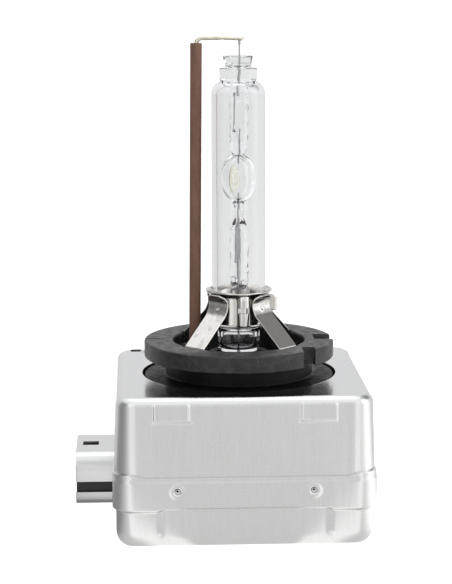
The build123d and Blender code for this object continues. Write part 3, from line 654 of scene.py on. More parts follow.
def arc_profile(size):
    """Outside of the arc tube: lower stem, twisted neck, chamber, neck and upper stem."""
    stem, chamber = size["stem_radius"], size["chamber_radius"]
    low_z, high_z = CLAMP_LOW_Z + size["glass_wall"] + 0.04, GLASS_TOP_Z - 4.87
    bulb = [Vector((chamber * cos(radians(a)), CHAMBER_Z + CHAMBER_HALF * 1.05 * sin(radians(a))))
            for a in spaced(-70, 70, 36)]
    lower = rounded([(0, low_z, 0), (stem, low_z, 0.4), (stem, 18.8, 2.0), (0.82, 20.6, 1.0), (0.85, 22.6, 0.7),
                     (bulb[0].x, bulb[0].y, 0)], steps=8)
    upper = rounded([(bulb[-1].x, bulb[-1].y, 0), (1.25, 31.8, 0.5), (stem, 33.6, 2.0),
                     (stem, high_z, 0.3), (0, high_z, 0)], steps=8)
    return refined(lower[:-1] + bulb + upper[1:], 0.45)


def refined(path, step):
    """The same polyline with points at least every step along it."""
    made = [path[0]]
    for start, stop in zip(path, path[1:]):
        count = max(1, round((stop - start).length / step))
        made += [start.lerp(stop, t) for t in spaced(0, 1, count)[1:]]
    return made


def rippled(point):
    """The stems were pinched and rolled while soft: their surface ripples and the lower neck twists."""
    x, y, z = point
    radius = hypot(x, y)
    if radius < 0.3:
        return point
    away = ramp(abs(z - CHAMBER_Z), CHAMBER_HALF, 5.6)
    ripple = drift(x / radius * 1.4, y / radius * 1.4, z * 0.75)
    fine = drift(x / radius * 2.6, y / radius * 2.6, z * 1.9 + 7.0)
    side = 0.5 + 0.5 * x / radius
    push = away * (0.12 * ripple + 0.15 * fine * side * side)
    twist = ramp(z, 18.6, 19.6) * (1 - ramp(z, 22.2, 23.2))
    direction = x / radius * cos(1.5 * z) + y / radius * sin(1.5 * z)
    push -= 0.22 * twist * direction * direction
    scale = (radius + push) / radius
    return x * scale + 0.10 * away, y * scale, z


class BULB_OT_arc_tube(bpy.types.Operator):
    """Quartz arc tube with its chamber, its rippled stems and the film of salts in it"""
    bl_idname = "bulb.arc_tube"
    bl_label = "Arc Tube"

    def execute(self, context):
        size = sizes()
        outside, faces = turning(arc_profile(size), 72)
        outside = [rippled(point) for point in outside]
        cavity = oval(size["cavity_radius"], CAVITY_HALF, CHAMBER_Z, 40)
        bubbles = []
        for x, z, reach in ((-0.62, 10.0, 0.85), (0.58, 9.4, 0.8)):
            points, sides = turning(oval(0.52, reach, z, 16), 32)
            bubbles.append(([(px + x, py - 0.15, pz) for px, py, pz in points], sides))
        piece = new_piece("arc_chamber", joined((outside, faces), turning(cavity, 72), *bubbles))
        quartz = clear_glass("Quartz", (0.96, 0.965, 0.965, 1.0), 0.6, 0.01)
        finish_piece(piece, quartz, "quartz", "arc_tube", crease=60)
        self.film(size["cavity_radius"])
        return {"FINISHED"}

    def film(self, radius):
        """Patch of salts on the chamber's left wall, with a wandering edge."""
        rows = []
        for v in spaced(-1, 1, 28):
            reach = (0.95 + 0.25 * drift(0, v * 2, 5)) * (1 - 0.75 * v ** 4)
            row = []
            for u in spaced(-1, 1, 24):
                turn, lift = pi + 0.62 + u * reach * 1.05, v * 0.75
                depth = 0.985 + 0.008 * drift(u * 3, v * 3, 1)
                row.append((radius * depth * cos(lift) * cos(turn), radius * depth * cos(lift) * sin(turn),
                            CHAMBER_Z + CAVITY_HALF * depth * sin(lift)))
            rows.append(row)
        piece = new_piece("salt_film", skin(rows, wrap=False))
        thicken(piece, 0.02, offset=0.0, edge=0.005)
        finish_piece(piece, glowing_halide_film(), "halide", "halide_deposit")


class BULB_OT_foils_and_leads(bpy.types.Operator):
    """Electrodes, sealing foils and leads inside the arc tube"""
    bl_idname = "bulb.foils_and_leads"
    bl_label = "Foils and Leads"

    def execute(self, context):
        low_z, high_z = span("lower_foil", 2)
        rows = []
        for t in spaced(0, 1, 60):
            z = low_z + (high_z - low_z) * t
            turn = radians(8 + 16 * t ** 2)
            half = 0.38 * (1 - 0.5 * ramp(t, 0.95, 1.0)) * (0.9 + 0.1 * drift(1, 2, z * 1.4))
            bow = 0.05 * drift(4, 1, z * 1.1)
            rows.append([(s * half * cos(turn) - bow - 0.08,
                          s * half * sin(turn) + 0.04 * drift(s, 3, z * 2), z) for s in spaced(-1, 1, 8)])
        foil = new_piece("lower_sealing_foil", skin(rows, wrap=False))
        thicken(foil, 0.04, offset=0.0, edge=0.01)
        molybdenum = plain_finish("Molybdenum", (0.34, 0.34, 0.35), (0.50, 0.50, 0.51), 0.30, 1.0, stretch=0.1)
        tungsten = plain_finish("Tungsten", (0.26, 0.26, 0.27), (0.40, 0.40, 0.41), 0.30, 1.0, stretch=0.1)
        finish_piece(foil, molybdenum, "molybdenum", "lower_foil")
        self.upper_foil(tungsten)
        self.upper_lead(molybdenum, tungsten)
        coat_node("lower_lead", molybdenum)
        self.rod("upper_rod", "upper_electrode", 0.16, tungsten)
        self.rod("lower_rod", "lower_electrode", 0.0, tungsten)
        return {"FINISHED"}

    def rod(self, name, node, lean, metal):
        """Electrode rod with a slightly swollen tip; its foil end leans off the middle."""
        low_z, high_z = span(node, 2)
        tip_z, foot_z = (low_z, high_z) if node.startswith("upper") else (high_z, low_z)
        made = []
        for t in spaced(0, 1, 24):
            z = tip_z + (foot_z - tip_z) * t
            radius = (0.13 - 0.03 * ramp(t, 0.1, 0.3)) * (1 if 0 < t < 1 else 0.5)
            middle = lean * ramp(t, 0.15, 0.4)
            made.append([(middle + radius * cos(a), radius * sin(a), z) for a in around(16)])
        if made[0][0][2] > made[-1][0][2]:
            made.reverse()
        finish_piece(new_piece(name, skin(made, caps=True)), metal, "tungsten", node, crease=60)

    def upper_foil(self, metal):
        """Foil seen almost edge-on, to the left of the electrode's line, a little wavy."""
        low_z, high_z = span("upper_foil", 2)
        rows = []
        for z in spaced(low_z, high_z, 50):
            half = 0.42 * (1 - 0.75 * plateau(z - low_z, 0.1, 0.5)) * (1 - 0.75 * plateau(z - high_z, 0.1, 0.5))
            bow = 0.03 * drift(8, 1, z * 0.8)
            rows.append([(-0.47 + bow + 0.17 * s, s * half, z) for s in spaced(-1, 1, 8)])
        foil = new_piece("upper_sealing_foil", skin(rows, wrap=False))
        thicken(foil, 0.06, offset=0.0, edge=0.01)
        finish_piece(foil, metal, "molybdenum", "upper_foil")

    def upper_lead(self, metal, dark):
        """Thin lead up out of the collar, with the darkened weld at its tip."""
        low_z, high_z = span("upper_lead", 2)
        weld_z = high_z - 0.75
        line = rounded([(0, low_z, 0), (0.15, low_z, 0.05), (0.16, weld_z, 0.5), (0.13, high_z - 0.3, 0),
                        (0.13, high_z, 0.03), (0, high_z, 0)])
        points, faces = turning(refined(line, 0.5), 24)
        lead = new_piece("lead_out", ([(x + LEAD_BEND_X * ramp(z, 43, 46), y, z) for x, y, z in points], faces))
        finish_piece(lead, metal, "molybdenum", "upper_lead")
        cuff = rounded([(0.12, weld_z, 0), (0.21, weld_z + 0.05, 0.04), (0.19, high_z - 0.02, 0.04),
                        (0.1, high_z, 0)])
        points, faces = turning(refined(cuff, 0.2), 24)
        weld = new_piece("lead_weld", ([(x + LEAD_BEND_X, y, z) for x, y, z in points], faces))
        finish_piece(weld, dark, "molybdenum")


def tube_line():
    """Middle of the leaning ceramic tube at its top and its lean per millimetre of height."""
    low_x, high_x = span("ceramic_tube", 0)
    radius = sizes()["tube_radius"]
    height = TUBE_TOP_Z - TUBE_FOOT_Z
    return high_x - radius, (high_x - low_x - 2 * radius) / height


def tube_middle_x(z):
    top_x, lean = tube_line()
    return top_x - (TUBE_TOP_Z - z) * lean


class BULB_OT_ceramic_tube(bpy.types.Operator):
    """Brown ceramic tube that insulates the return wire"""
    bl_idname = "bulb.ceramic_tube"
    bl_label = "Ceramic Tube"

    def execute(self, context):
        radius, bore = sizes()["tube_radius"], 0.45
        low, high = TUBE_FOOT_Z + 0.02, TUBE_TOP_Z - 0.02
        corners = [(radius, (low + high) / 2, 0), (radius, high, 0.12), (bore, high, 0.08), (bore, low, 0.08),
                   (radius, low, 0.12), (radius, (low + high) / 2, 0)]
        path = refined(rounded(corners), 0.9)[:-1]
        points, faces = turning(path, 64, loop=True)
        made = []
        for x, y, z in points:
            wobble = 1 + 0.012 * drift(x * 0.4, y * 0.4, z * 0.25)
            made.append((x * wobble + tube_middle_x(z), y * wobble, z))
        piece = new_piece("insulating_tube", (made, faces))
        finish_piece(piece, brown_ceramic(), "brown_ceramic", "ceramic_tube")
        return {"FINISHED"}


class BULB_OT_return_wire(bpy.types.Operator):
    """Return wire: up through the tube, bent over, then flattened where the lead is welded to it"""
    bl_idname = "bulb.return_wire"
    bl_label = "Return Wire"

    def execute(self, context):
        radius = sizes()["wire_radius"]
        low_z, high_z = span("return_wire", 2)
        end_x = span("return_wire", 0)[1]
        run_z = high_z - 0.98 * radius
        path = rounded([(tube_middle_x(low_z), low_z, 0),
                        (tube_middle_x(run_z) + 0.05, TUBE_TOP_Z + 0.12, 0.35), (-6.55, run_z - 0.04, 0.9),
                        (-2.6, run_z - 0.02, 3.0), (end_x - 0.05, run_z - 0.17, 0)], steps=10)
        path = refined(path, 0.35)
        rings = []
        for i, here in enumerate(path):
            along = heading(path, i)
            flat = ramp(here.x, -3.1, -2.3)
            left = min((path[-1] - here).length, radius)
            close = max(1 - (1 - left / radius) ** 2, 0.02) ** 0.5
            wide = radius * (1 + 0.30 * flat) * close
            tall = radius * (0.98 - 0.10 * flat - 0.12 * plateau(here.x + 2.55, 0.1, 0.3)) * close
            ring = []
            for a in around(28):
                up = tall * sin(a)
                ring.append((here.x - along.y * up, wide * cos(a), here.y + along.x * up))
            rings.append(ring)
        piece = new_piece("bent_wire", skin(rings, caps=True))
        nickel = plain_finish("Nickel", colour("nickel")[:3], (0.70, 0.67, 0.56), 0.12, 1.0,
                              stretch=0.2, depth=0.006)
        finish_piece(piece, nickel, "nickel", "return_wire", crease=50)
        return {"FINISHED"}


# ---- clamp --------------------------------------------------------------------------------------
class BULB_OT_clamp_band(bpy.types.Operator):
    """Sheet collar round the glass with its rolled rim, closing strip, folded rib and pinch tab"""
    bl_idname = "bulb.clamp_band"
    bl_label = "Clamp Band"

    def execute(self, context):
        size = sizes()
        sheet, inner = size["clamp_sheet"], size["glass_radius"] + 0.03
        rim = span("clamp_band", 1)[1] - 0.02
        parts = [self.band(inner, sheet, rim), self.strip(inner, sheet)]
        steel = spring_steel()
        band = new_piece("clamp_collar", joined(*parts))
        finish_piece(band, steel, "spring_steel", "clamp_band", crease=50)
        rib = new_piece("clamp_rib", self.rib(inner + sheet))
        thicken(rib, sheet * 0.8, edge=0.04)
        finish_piece(rib, steel, "spring_steel")
        tab = new_piece("clamp_tab", self.tab(inner + sheet))
        thicken(tab, sheet, edge=0.05)
        finish_piece(tab, steel, "spring_steel")
        return {"FINISHED"}

    def band(self, inner, sheet, rim):
        """Collar wall with a flared mouth rolled over at its lip; the mouth dips and rises a little."""
        low, high = CLAMP_LOW_Z, CLAMP_HIGH_Z
        outer = inner + sheet
        section = rounded([(outer, low + 0.05, 0), (outer, high - 1.25, 0.7), (rim - 0.2, high - 0.42, 0.25),
                           (rim, high - 0.30, 0.12), (rim - 0.02, high - 0.03, 0.12),
                           (rim - 0.3, high - 0.08, 0.12), (outer - 0.05, high - 0.75, 0.6),
                           (inner, high - 1.6, 0.3), (inner, low + 0.05, 0),
                           (inner + sheet / 2, low, 0), (outer, low + 0.05, 0)])[:-1]
        points, faces = turning(section, 144, loop=True)
        made = []
        for x, y, z in points:
            lip = ramp(z, high - 1.2, high)
            angle = Vector((x, y)).normalized()
            dent = 0.10 * drift(angle.x * 2.2, angle.y * 2.2, 0.5) - 0.08
            scale = 1 + lip * dent * 0.35 / outer
            made.append((x * scale, y * scale, z + lip * min(dent, 0.0)))
        return made, faces

    def strip(self, inner, sheet):
        """Flat closing strip beside the rib."""
        low, high = CLAMP_LOW_Z + 0.02, CLAMP_HIGH_Z - 1.15
        rows = []
        for z, out in ((low, 0.02), (low + 0.08, 0.18), (high - 0.5, 0.2), (high, 0.2)):
            radius = inner + sheet + out
            rows.append([(x, -(max(radius ** 2 - x * x, 0.0) ** 0.5) - 0.05 * sheet, z)
                         for x in spaced(-2.35, -0.72, 12)])
        back = [[(x, y + 0.2, z) for x, y, z in row] for row in rows]
        rings = [row + list(reversed(other)) for row, other in zip(rows, back)]
        return skin(rings, caps=True)

    def rib(self, outer):
        """Half-round folded rib that stands out of the collar, drawn in at its top, with a pressed window."""
        low, high = CLAMP_LOW_Z - 0.12, CLAMP_HIGH_Z - 0.75
        rows = []
        for z in sorted(refined_heights(low, high, 0.25) + [5.13, 5.18, 5.23, 5.97, 6.02, 6.07]):
            top = ramp(z, high - 0.7, high)
            window = ramp(z, 5.13, 5.23) * (1 - ramp(z, 5.97, 6.07))
            row = []
            for a in spaced(-105, 105, 30):
                turn = radians(a)
                radius = 1.18 * (1 - 0.10 * top) - 0.42 * window * plateau(a - 12, 52, 9)
                out = radius * cos(turn) * (1 - 0.15 * top)
                row.append((0.55 + radius * sin(turn), -(outer - 0.45) - out, z))
            rows.append(row)
        return skin(rows, wrap=False)

    def tab(self, outer):
        """Pinch tab on the right, with a rolled upper corner."""
        rows = []
        for z in spaced(4.75, 7.5, 16):
            reach = outer + 1.85 - 0.5 * ramp(z, 7.0, 7.55)
            rows.append([(x, 0.15 + 0.25 * ramp(x, reach - 0.5, reach), z)
                         for x in spaced(outer - 0.1, reach, 12)])
        return skin(rows, wrap=False)


def refined_heights(low, high, step):
    """Heights from one to another, in either direction, about a step apart."""
    return spaced(low, high, max(2, round(abs(high - low) / step)))


class BULB_OT_spring_legs(bpy.types.Operator):
    """Four strip legs from the clamp out to the cap's bore, each spot-welded at its waist"""
    bl_idname = "bulb.spring_legs"
    bl_label = "Spring Legs"

    def execute(self, context):
        size = sizes()
        steel = bpy.data.materials["Spring steel"]
        for number, turn in enumerate(LEG_TURNS, 1):
            piece = new_piece(f"leg_{number}", self.strip(size, turn, 0.02 * number))
            thicken(piece, size["clamp_sheet"] * 0.92, offset=0.0, edge=0.05)
            finish_piece(piece, steel, "spring_steel", f"spring_leg_{number}", crease=45)
        return {"FINISHED"}

    def strip(self, size, turn, seed):
        """Curved strip: lip, shouldered waist with its weld dimple, straight shin and turned-down toe."""
        waist = size["glass_radius"] + size["clamp_sheet"] + 0.20
        bore = size["bore_radius"] - size["clamp_sheet"] / 2 - 0.08
        line = rounded([(waist + 1.12, 8.12, 0), (waist + 0.5, 7.7, 0.5), (waist - 0.16, 6.35, 1.9),
                        (waist + 0.75, 4.6, 2.6), (bore, -0.1, 0.5), (bore, -1.9, 0)], steps=10)
        line = refined(line, 0.16)
        travelled = [0.0]
        for start, stop in zip(line, line[1:]):
            travelled.append(travelled[-1] + (stop - start).length)
        weld_at = next(t for t, point in zip(travelled, line) if point.y < 5.95)
        half_foot = size["leg_width"] / 2 - 0.03
        rows = []
        for i, (t, here) in enumerate(zip(travelled, line)):
            along = heading(line, i)
            out = Vector((-along.y, along.x))
            half = half_foot - 0.95 * (1 - ramp(t, 0.0, 1.5)) ** 1.6
            row = []
            for s in spaced(-1, 1, 36):
                w = s * half
                gap = hypot(t - weld_at, w)
                dent = -0.07 * plateau(gap, 0.12, 0.22) + 0.035 * plateau(gap - 0.42, 0.05, 0.16)
                bow = 0.03 * drift(w * 0.4, t * 0.35, seed * 40)
                push = dent * (1 if out.x > 0 else -1) + bow
                row.append((here.x + out.x * push, w, here.y + out.y * push))
            rows.append(turned_xy(row, turn))
        return skin(rows, wrap=False)


# ---- cap ----------------------------------------------------------------------------------------
class BULB_OT_cap(bpy.types.Operator):
    """Black cap: keyed ring, neck, disc, and the well with the glass socket and tube tower in it"""
    bl_idname = "bulb.cap"
    bl_label = "Cap"

    def execute(self, context):
        size = sizes()
        ring, bore, neck = size["ring_radius"] - 0.01, size["bore_radius"], size["neck_radius"]
        under = -size["ring_thickness"]
        floor_z = WELL_FLOOR_Z
        body = rounded([(bore + 0.3, floor_z - 0.3, 0), (neck - 0.4, floor_z - 0.3, 0),
                        (neck - 0.4, under, 0.05), (ring - 0.25, under, 0.15),
                        (ring, under + 0.2, 0.15), (ring, -0.01, 0.3),
                        (bore + 0.1, -0.01, 0.25), (bore, -0.4, 0.1), (bore, floor_z, 0.4), (0, floor_z, 0),
                        (0, floor_z - 0.3, 0), (bore + 0.3, floor_z - 0.3, 0)], steps=5)[:-1]
        piece = new_piece("cap_ring", turning(body, 180, loop=True))
        tools = [
            block_tool((ring - 3.3, ring + 1), (-1.4, 2.9), (under - 0.5, 1), 0.25),
            block_tool((10.0, 12.1), (-ring - 1, -8.2), (under - 0.6, 1), 0.25),
            block_tool((-ring + 0.3, -ring + 2.7), (0.25, 0.75), (-0.15, 1), 0.15),
        ]
        for turn in LEG_TURNS:
            tools.append(block_tool((bore - 1, bore + 0.45), (-2.35, 2.35), (-2.4, 1), 0.1, turn))
        carve(piece, *tools)
        soften(piece, 0.07, angle=55)
        finish_piece(piece, cap_plastic("Cap plastic", 0.5, 1.0), "cap_plastic", "cap_housing", crease=40)
        # darker copy of the cap plastic for the neck, disc and well: its fainter grains and weaker reflection
        # are painted shade
        plain = cap_plastic("Cap plastic, dimmed for shade", 0.12, 0.3)
        disc = new_piece("cap_neck", self.neck(neck, under))
        finish_piece(disc, plain, "cap_plastic", crease=40)
        inside = new_piece("cap_well", joined(self.socket(floor_z), self.tower(floor_z), *self.shelf(bore)))
        finish_piece(inside, plain, "cap_plastic")
        return {"FINISHED"}

    def neck(self, neck, under):
        """Neck under the ring and the disc that fills the cover's hole."""
        disc, deck, base = 15.98, COVER_TOP_Z - 0.2, COVER_TOP_Z - 1.9
        wall = rounded([(neck - 0.8, base, 0), (disc, base, 0.1), (disc, deck, 0.22), (neck, deck, 0.35),
                        (neck, under + 0.02, 0.1), (neck - 0.8, under + 0.02, 0.1), (neck - 0.8, base, 0)])
        return turning(wall[:-1], 160, loop=True)

    def socket(self, floor_z):
        """Raised ring that locates the glass foot."""
        wall = rounded([(5.2, floor_z, 0), (5.2, -2.25, 0.2), (4.0, -2.25, 0.2), (4.0, floor_z, 0)])
        return turning(wall, 72, loop=True)

    def tower(self, floor_z):
        """Boss that holds the ceramic tube's foot."""
        wall = rounded([(2.15, floor_z, 0), (2.15, -1.45, 0.25), (1.08, -1.45, 0.15), (1.08, floor_z, 0)])
        points, faces = turning(wall, 48, loop=True)
        return [(x + tube_middle_x(z), y, z) for x, y, z in points], faces

    def shelf(self, bore):
        """Two ledges on the left of the well, a slot apart, that stop the tube from tipping."""
        made = []
        edge_x = tube_middle_x(0) - 0.95
        for low_y, high_y in ((-5.6, -0.45), (0.45, 5.6)):
            rings = []
            for z in (-6.4, -1.85, -1.7):
                inset = 0.12 if z > -1.8 else 0.0
                front = [(edge_x - inset, y, z) for y in spaced(high_y - inset, low_y + inset, 10)]
                back = [(-((bore + 0.02) ** 2 - y * y) ** 0.5, y, z) for y in spaced(low_y, high_y, 10)]
                rings.append(front + back)
            made.append(skin([list(reversed(ring)) for ring in rings], caps=True))
        return made


# ---- box ----------------------------------------------------------------------------------------
def square_rim(half, corner, marks):
    """Stations round a rounded square: side, place along it, point and outward normal."""
    rim = []
    for side in range(4):
        turn = Matrix.Rotation(radians(90 * side), 2)
        along, out = turn @ Vector((1, 0)), turn @ Vector((0, -1))
        for place in marks[side]:
            rim.append((side, place, along * place + out * half, out))
        centre = (along + out) * (half - corner)
        for a in spaced(0, 90, 14)[1:-1]:
            normal = (out * cos(radians(a)) + along * sin(radians(a))).normalized()
            rim.append((None, None, centre + normal * corner, normal))
    return rim


def sheet_rings(rim, rows, offset_at):
    """Rings of points: each station moved along its normal by the row's own offset and the local one."""
    rings = []
    for z, inset in rows:
        ring = []
        for side, place, point, normal in rim:
            shift, lift = offset_at(side, place, z, inset)
            spot = point + normal * shift
            ring.append((spot.x, spot.y, z + lift))
        rings.append(ring)
    return rings


def clustered(limit, coarse, spots):
    """Numbers from -limit to limit, coarse apart, with finer ones round each (middle, reach, step)."""
    values = set(round(v, 3) for v in spaced(-limit, limit, round(2 * limit / coarse)))
    for middle, reach, step in spots:
        values = set(v for v in values if abs(v - middle) > reach + step / 2 or abs(v) == limit)
        values |= set(round(v, 3) for v in spaced(middle - reach, middle + reach, round(2 * reach / step)))
    kept = [sorted(values)[0]]
    for value in sorted(v for v in values if abs(v) <= limit)[1:]:
        if value - kept[-1] > 0.05:
            kept.append(value)
    return kept


class BULB_OT_upper_cover(bpy.types.Operator):
    """Aluminium cover with its round hole, soft top edges, vent slot and two embossed pads"""
    bl_idname = "bulb.upper_cover"
    bl_label = "Upper Cover"

    def execute(self, context):
        size = sizes()
        corner, bend, sheet = size["corner_radius"], size["top_edge_radius"], size["sheet"]
        half, top = COVER_HALF - 0.01, COVER_TOP_Z - 0.01
        limit = half - corner
        edges = [(s * x, 0.6, 0.1) for s in (-1, 1) for x in (8.95, 14.75)]
        front = clustered(limit, 0.7, edges)
        plain = clustered(limit, 1.6, [])
        plug = clustered(limit, 1.6, [(s * PLUG_SLOT, 0.4, 0.4) for s in (-1, 1)])
        rim = square_rim(half, corner, [front, plain, plain, plug])
        heights = list(reversed(clustered(9.0, 0.9, [(5.2, 0.5, 0.1), (2.55, 0.45, 0.09)])))
        base = top - bend
        walls = [base - (9.0 - h) * (base - COVER_LOW_Z - 0.02) / 18.0 for h in heights[1:]]
        rows = [(base + bend * sin(a), -bend + bend * cos(a)) for a in spaced(pi / 2, 0, 10)]
        rows += [(z, 0.0) for z in walls if z < -10.35]
        rows += [(z, 0.0) for z in refined_heights(-10.3, -6.9, 0.09)]
        rows.sort(key=lambda row: (-row[0], row[1]))

        def offset_at(side, place, z, inset):
            push = inset - self.lean(z)
            if side is not None:
                push += 0.09 * plateau(abs(place) - limit + 0.05, 0.05, 0.32)
            if side == 0:
                push += self.pads(place, z, size["pad_height"])
            return push, 0.0

        rings = sheet_rings(rim, rows, offset_at)
        hole = self.hole_rings(rim, top, bend)
        piece = new_piece("box_cover", skin(list(reversed(hole + rings))))
        open_up(piece, lambda x, y, z: x < -half + 1 and abs(y) < PLUG_SLOT and z < SHIELD_TOP_Z + 0.2)
        thicken(piece, sheet - 0.02, edge=0.08)
        carve(piece,
              block_tool((-18.43, -16.55), (17.35, 19.2), (top - 2, top + 1), 0.35),
              block_tool((-16.5, -15.8), (16.85, 17.25), (top - 2, top + 1), 0.1))
        metal = sheet_metal("Cover sheet", colour("aluminium"), 0.26, (1.0, 1.0, 0.035), 0.007)
        finish_piece(piece, metal, "cover_sheet", "upper_cover", crease=40)
        return {"FINISHED"}

    def pads(self, place, z, height):
        """Two shallow embossed pads under the top edge, each with a crisp raised border."""
        push = 0.0
        for middle in (-PAD_MIDDLE, PAD_MIDDLE):
            across, down = abs(place - middle) - PAD_HALF_WIDTH, abs(z - PAD_Z) - PAD_HALF_HEIGHT
            if z > PAD_Z:
                down = -1.0
            outside = max(across, down)
            rise = 1 - ramp(outside, -0.12, 0.10)
            side_edge = 1 - ramp(down, -0.3, 0.1)
            border = plateau(outside + 0.14, 0.03, 0.12) * (0.12 + 0.60 * side_edge)
            groove = plateau(outside - 0.22, 0.04, 0.14) * (0.7 - 0.35 * side_edge)
            fade = 1 - ramp(z, -7.0, -5.9)
            push += (rise * height * 0.2 + border * height * 0.8 - groove * 0.09) * fade
        return push

    def lean(self, z):
        """How far the cover's walls draw in by a height."""
        return COVER_LEAN * ramp(z, COVER_LOW_Z + 4, COVER_TOP_Z + 3)

    def hole_rings(self, rim, top, bend):
        """Flat top between the round hole and the start of the top edge."""
        rings = []
        for share in (0.0, 0.02, 0.3, 0.65):
            ring = []
            for side, place, point, normal in rim:
                edge = point - normal * (bend + self.lean(top))
                start = edge.normalized() * COVER_HOLE_RADIUS
                spot = start.lerp(edge, share)
                ring.append((spot.x, spot.y, top))
            rings.append(ring)
        return rings


class BULB_OT_lower_tray(bpy.types.Operator):
    """Aluminium tray: band with spot dimples, stepped in below to recessed panels and a round bottom edge"""
    bl_idname = "bulb.lower_tray"
    bl_label = "Lower Tray"

    def execute(self, context):
        size = sizes()
        corner, bend, sheet = size["corner_radius"], size["bottom_edge_radius"], size["sheet"]
        half, low, high = BAND_HALF - 0.13, TRAY_LOW_Z + 0.01, TRAY_TOP_Z - 0.02
        limit = half - corner
        dimples = [(s * DIMPLE_MIDDLE, 1.5, 0.13) for s in (-1, 1)]
        bends = [(s * 13.9, 1.3, 0.18) for s in (-1, 1)]
        front = clustered(limit, 0.8, dimples + bends)
        plain = clustered(limit, 1.6, bends)
        plug = clustered(limit, 1.6, [(s * PLUG_SLOT, 0.4, 0.4) for s in (-1, 1)])
        rim = square_rim(half, corner, [front, plain, plain, plug])
        bands = ((high, -19.3, 0.3), (-19.35, -22.2, 0.12), (-22.4, -23.2, 0.25), (-23.25, -25.2, 0.10),
                 (-25.4, low + bend, 0.35))
        rows = [(z, 0.0) for start, stop, step in bands for z in refined_heights(start, stop, step)]
        rows += [(low + bend - bend * sin(a), bend - bend * cos(a)) for a in spaced(0, pi / 2, 14)[1:]]

        def offset_at(side, place, z, inset):
            return self.offset(side, place, z, inset, size, limit)

        rings = sheet_rings(rim, rows, offset_at)
        flat = [Vector((x, y)) for x, y, z in rings[-1]]
        rings += [[(p.x * s, p.y * s, low) for p in flat] for s in (0.8, 0.4, 0.0)]
        piece = new_piece("box_tray", skin(list(reversed(rings))))
        open_up(piece, lambda x, y, z: x < -half + 2 and abs(y) < PLUG_SLOT and z > SHIELD_LOW_Z - 0.2)
        thicken(piece, sheet - 0.02, edge=0.08)
        metal = sheet_metal("Tray sheet", colour("aluminium"), 0.24, (1.0, 1.0, 0.05), 0.006)
        finish_piece(piece, metal, "tray_sheet", "lower_tray", crease=40)
        return {"FINISHED"}

    def offset(self, side, place, z, inset, size, limit):
        """Step under the band, deeper panels with soft ends, rounded bottom and the front's dimples."""
        panel = 0.0
        if side in (0, 1, 2):
            panel = size["panel_depth"] * (1 - ramp(abs(place), 13.0, 14.4))
        edge_z = -23.75 - (0.35 * (1 - panel / size["panel_depth"]) if side is not None else 0.35)
        step = (TRAY_STEP + panel) * ramp(z, edge_z + 0.3, edge_z - 0.3)
        depth = step + inset
        if inset > 0:
            swell = 0.18 * plateau(panel - inset, 0.0, 0.8) * (panel > 0.1)
            depth = max(TRAY_STEP + panel, TRAY_STEP + inset) + swell
        push = -depth
        near_corner = 1.0 if side is None else ramp(abs(place), limit - 1.5, limit)
        lift = 0.5 * near_corner * ramp(z, -19.6, -18.1)
        push -= 0.10 * ramp(z, -19.5, -18.6)
        if side == 0:
            for middle in (-DIMPLE_MIDDLE, DIMPLE_MIDDLE):
                gap = hypot(place - middle, z - DIMPLE_Z)
                push += 0.12 * plateau(gap, 0.85, 0.7) - 0.55 * plateau(gap, 0.25, 0.45)
        return push, lift - 0.5 * ramp(z, -19.6, -18.1)


# ---- connector ----------------------------------------------------------------------------------
class BULB_OT_connector(bpy.types.Operator):
    """Metal sleeve round the plug, slotted at the side, with its latch window on top"""
    bl_idname = "bulb.connector"
    bl_label = "Connector"

    def execute(self, context):
        end, root = SHIELD_END_X + 0.3, SHIELD_ROOT_X
        low, high = SHIELD_LOW_Z + 0.01, SHIELD_TOP_Z - 0.01
        half = SLEEVE_HALF_WIDTH
        outline = rounded([(0, low, 0), (half, low, 0.55), (half, high, 1.6), (-half, high, 1.6),
                           (-half, low, 0.55), (0, low, 0)], steps=8)[:-1]
        outline = refined(outline + [outline[0]], 0.5)[:-1]
        rings = []
        for x in refined_heights(end + 0.01, root, 0.35):
            flare = 0.04 * ramp(x, end + 0.9, end)
            ring = []
            for y, z in outline:
                dull = 0.035 * drift(x * 0.5, y * 0.5, z * 0.5)
                ring.append((x, y * (1 - 0.004 - flare * 0.1), z - 0.04 + dull * 0.7 if z > high - 1 else z))
            rings.append(ring)
        piece = new_piece("plug_sleeve", skin(rings))
        edit_mesh(piece.data, lambda bm: bmesh.ops.reverse_faces(bm, faces=bm.faces))
        thicken(piece, 0.38, edge=0.07)
        carve(piece,
              block_tool((end - 1, -21.3), (-8, -6.3), (SHIELD_LOW_Z + 1.7, SHIELD_LOW_Z + 3.5)),
              block_tool((end + 1.1, end + 3.8), (-1.4, 1.1), (high - 1, high + 1), 0.12))
        metal = sheet_metal("Sleeve sheet", colour("aluminium"), 0.30, (0.05, 1.0, 1.0), 0.006, wear=0.3)
        finish_piece(piece, metal, "cover_sheet", "connector_shield", crease=40)
        plastic = plain_finish("Plug plastic", (0.012, 0.012, 0.013), (0.02, 0.02, 0.021), 0.42, 0.0)
        coat_node("connector_insert", plastic)
        brass = plain_finish("Tinned brass", (0.70, 0.68, 0.62), (0.80, 0.79, 0.75), 0.3, 1.0)
        coat_node("contact_pins", brass)
        return {"FINISHED"}


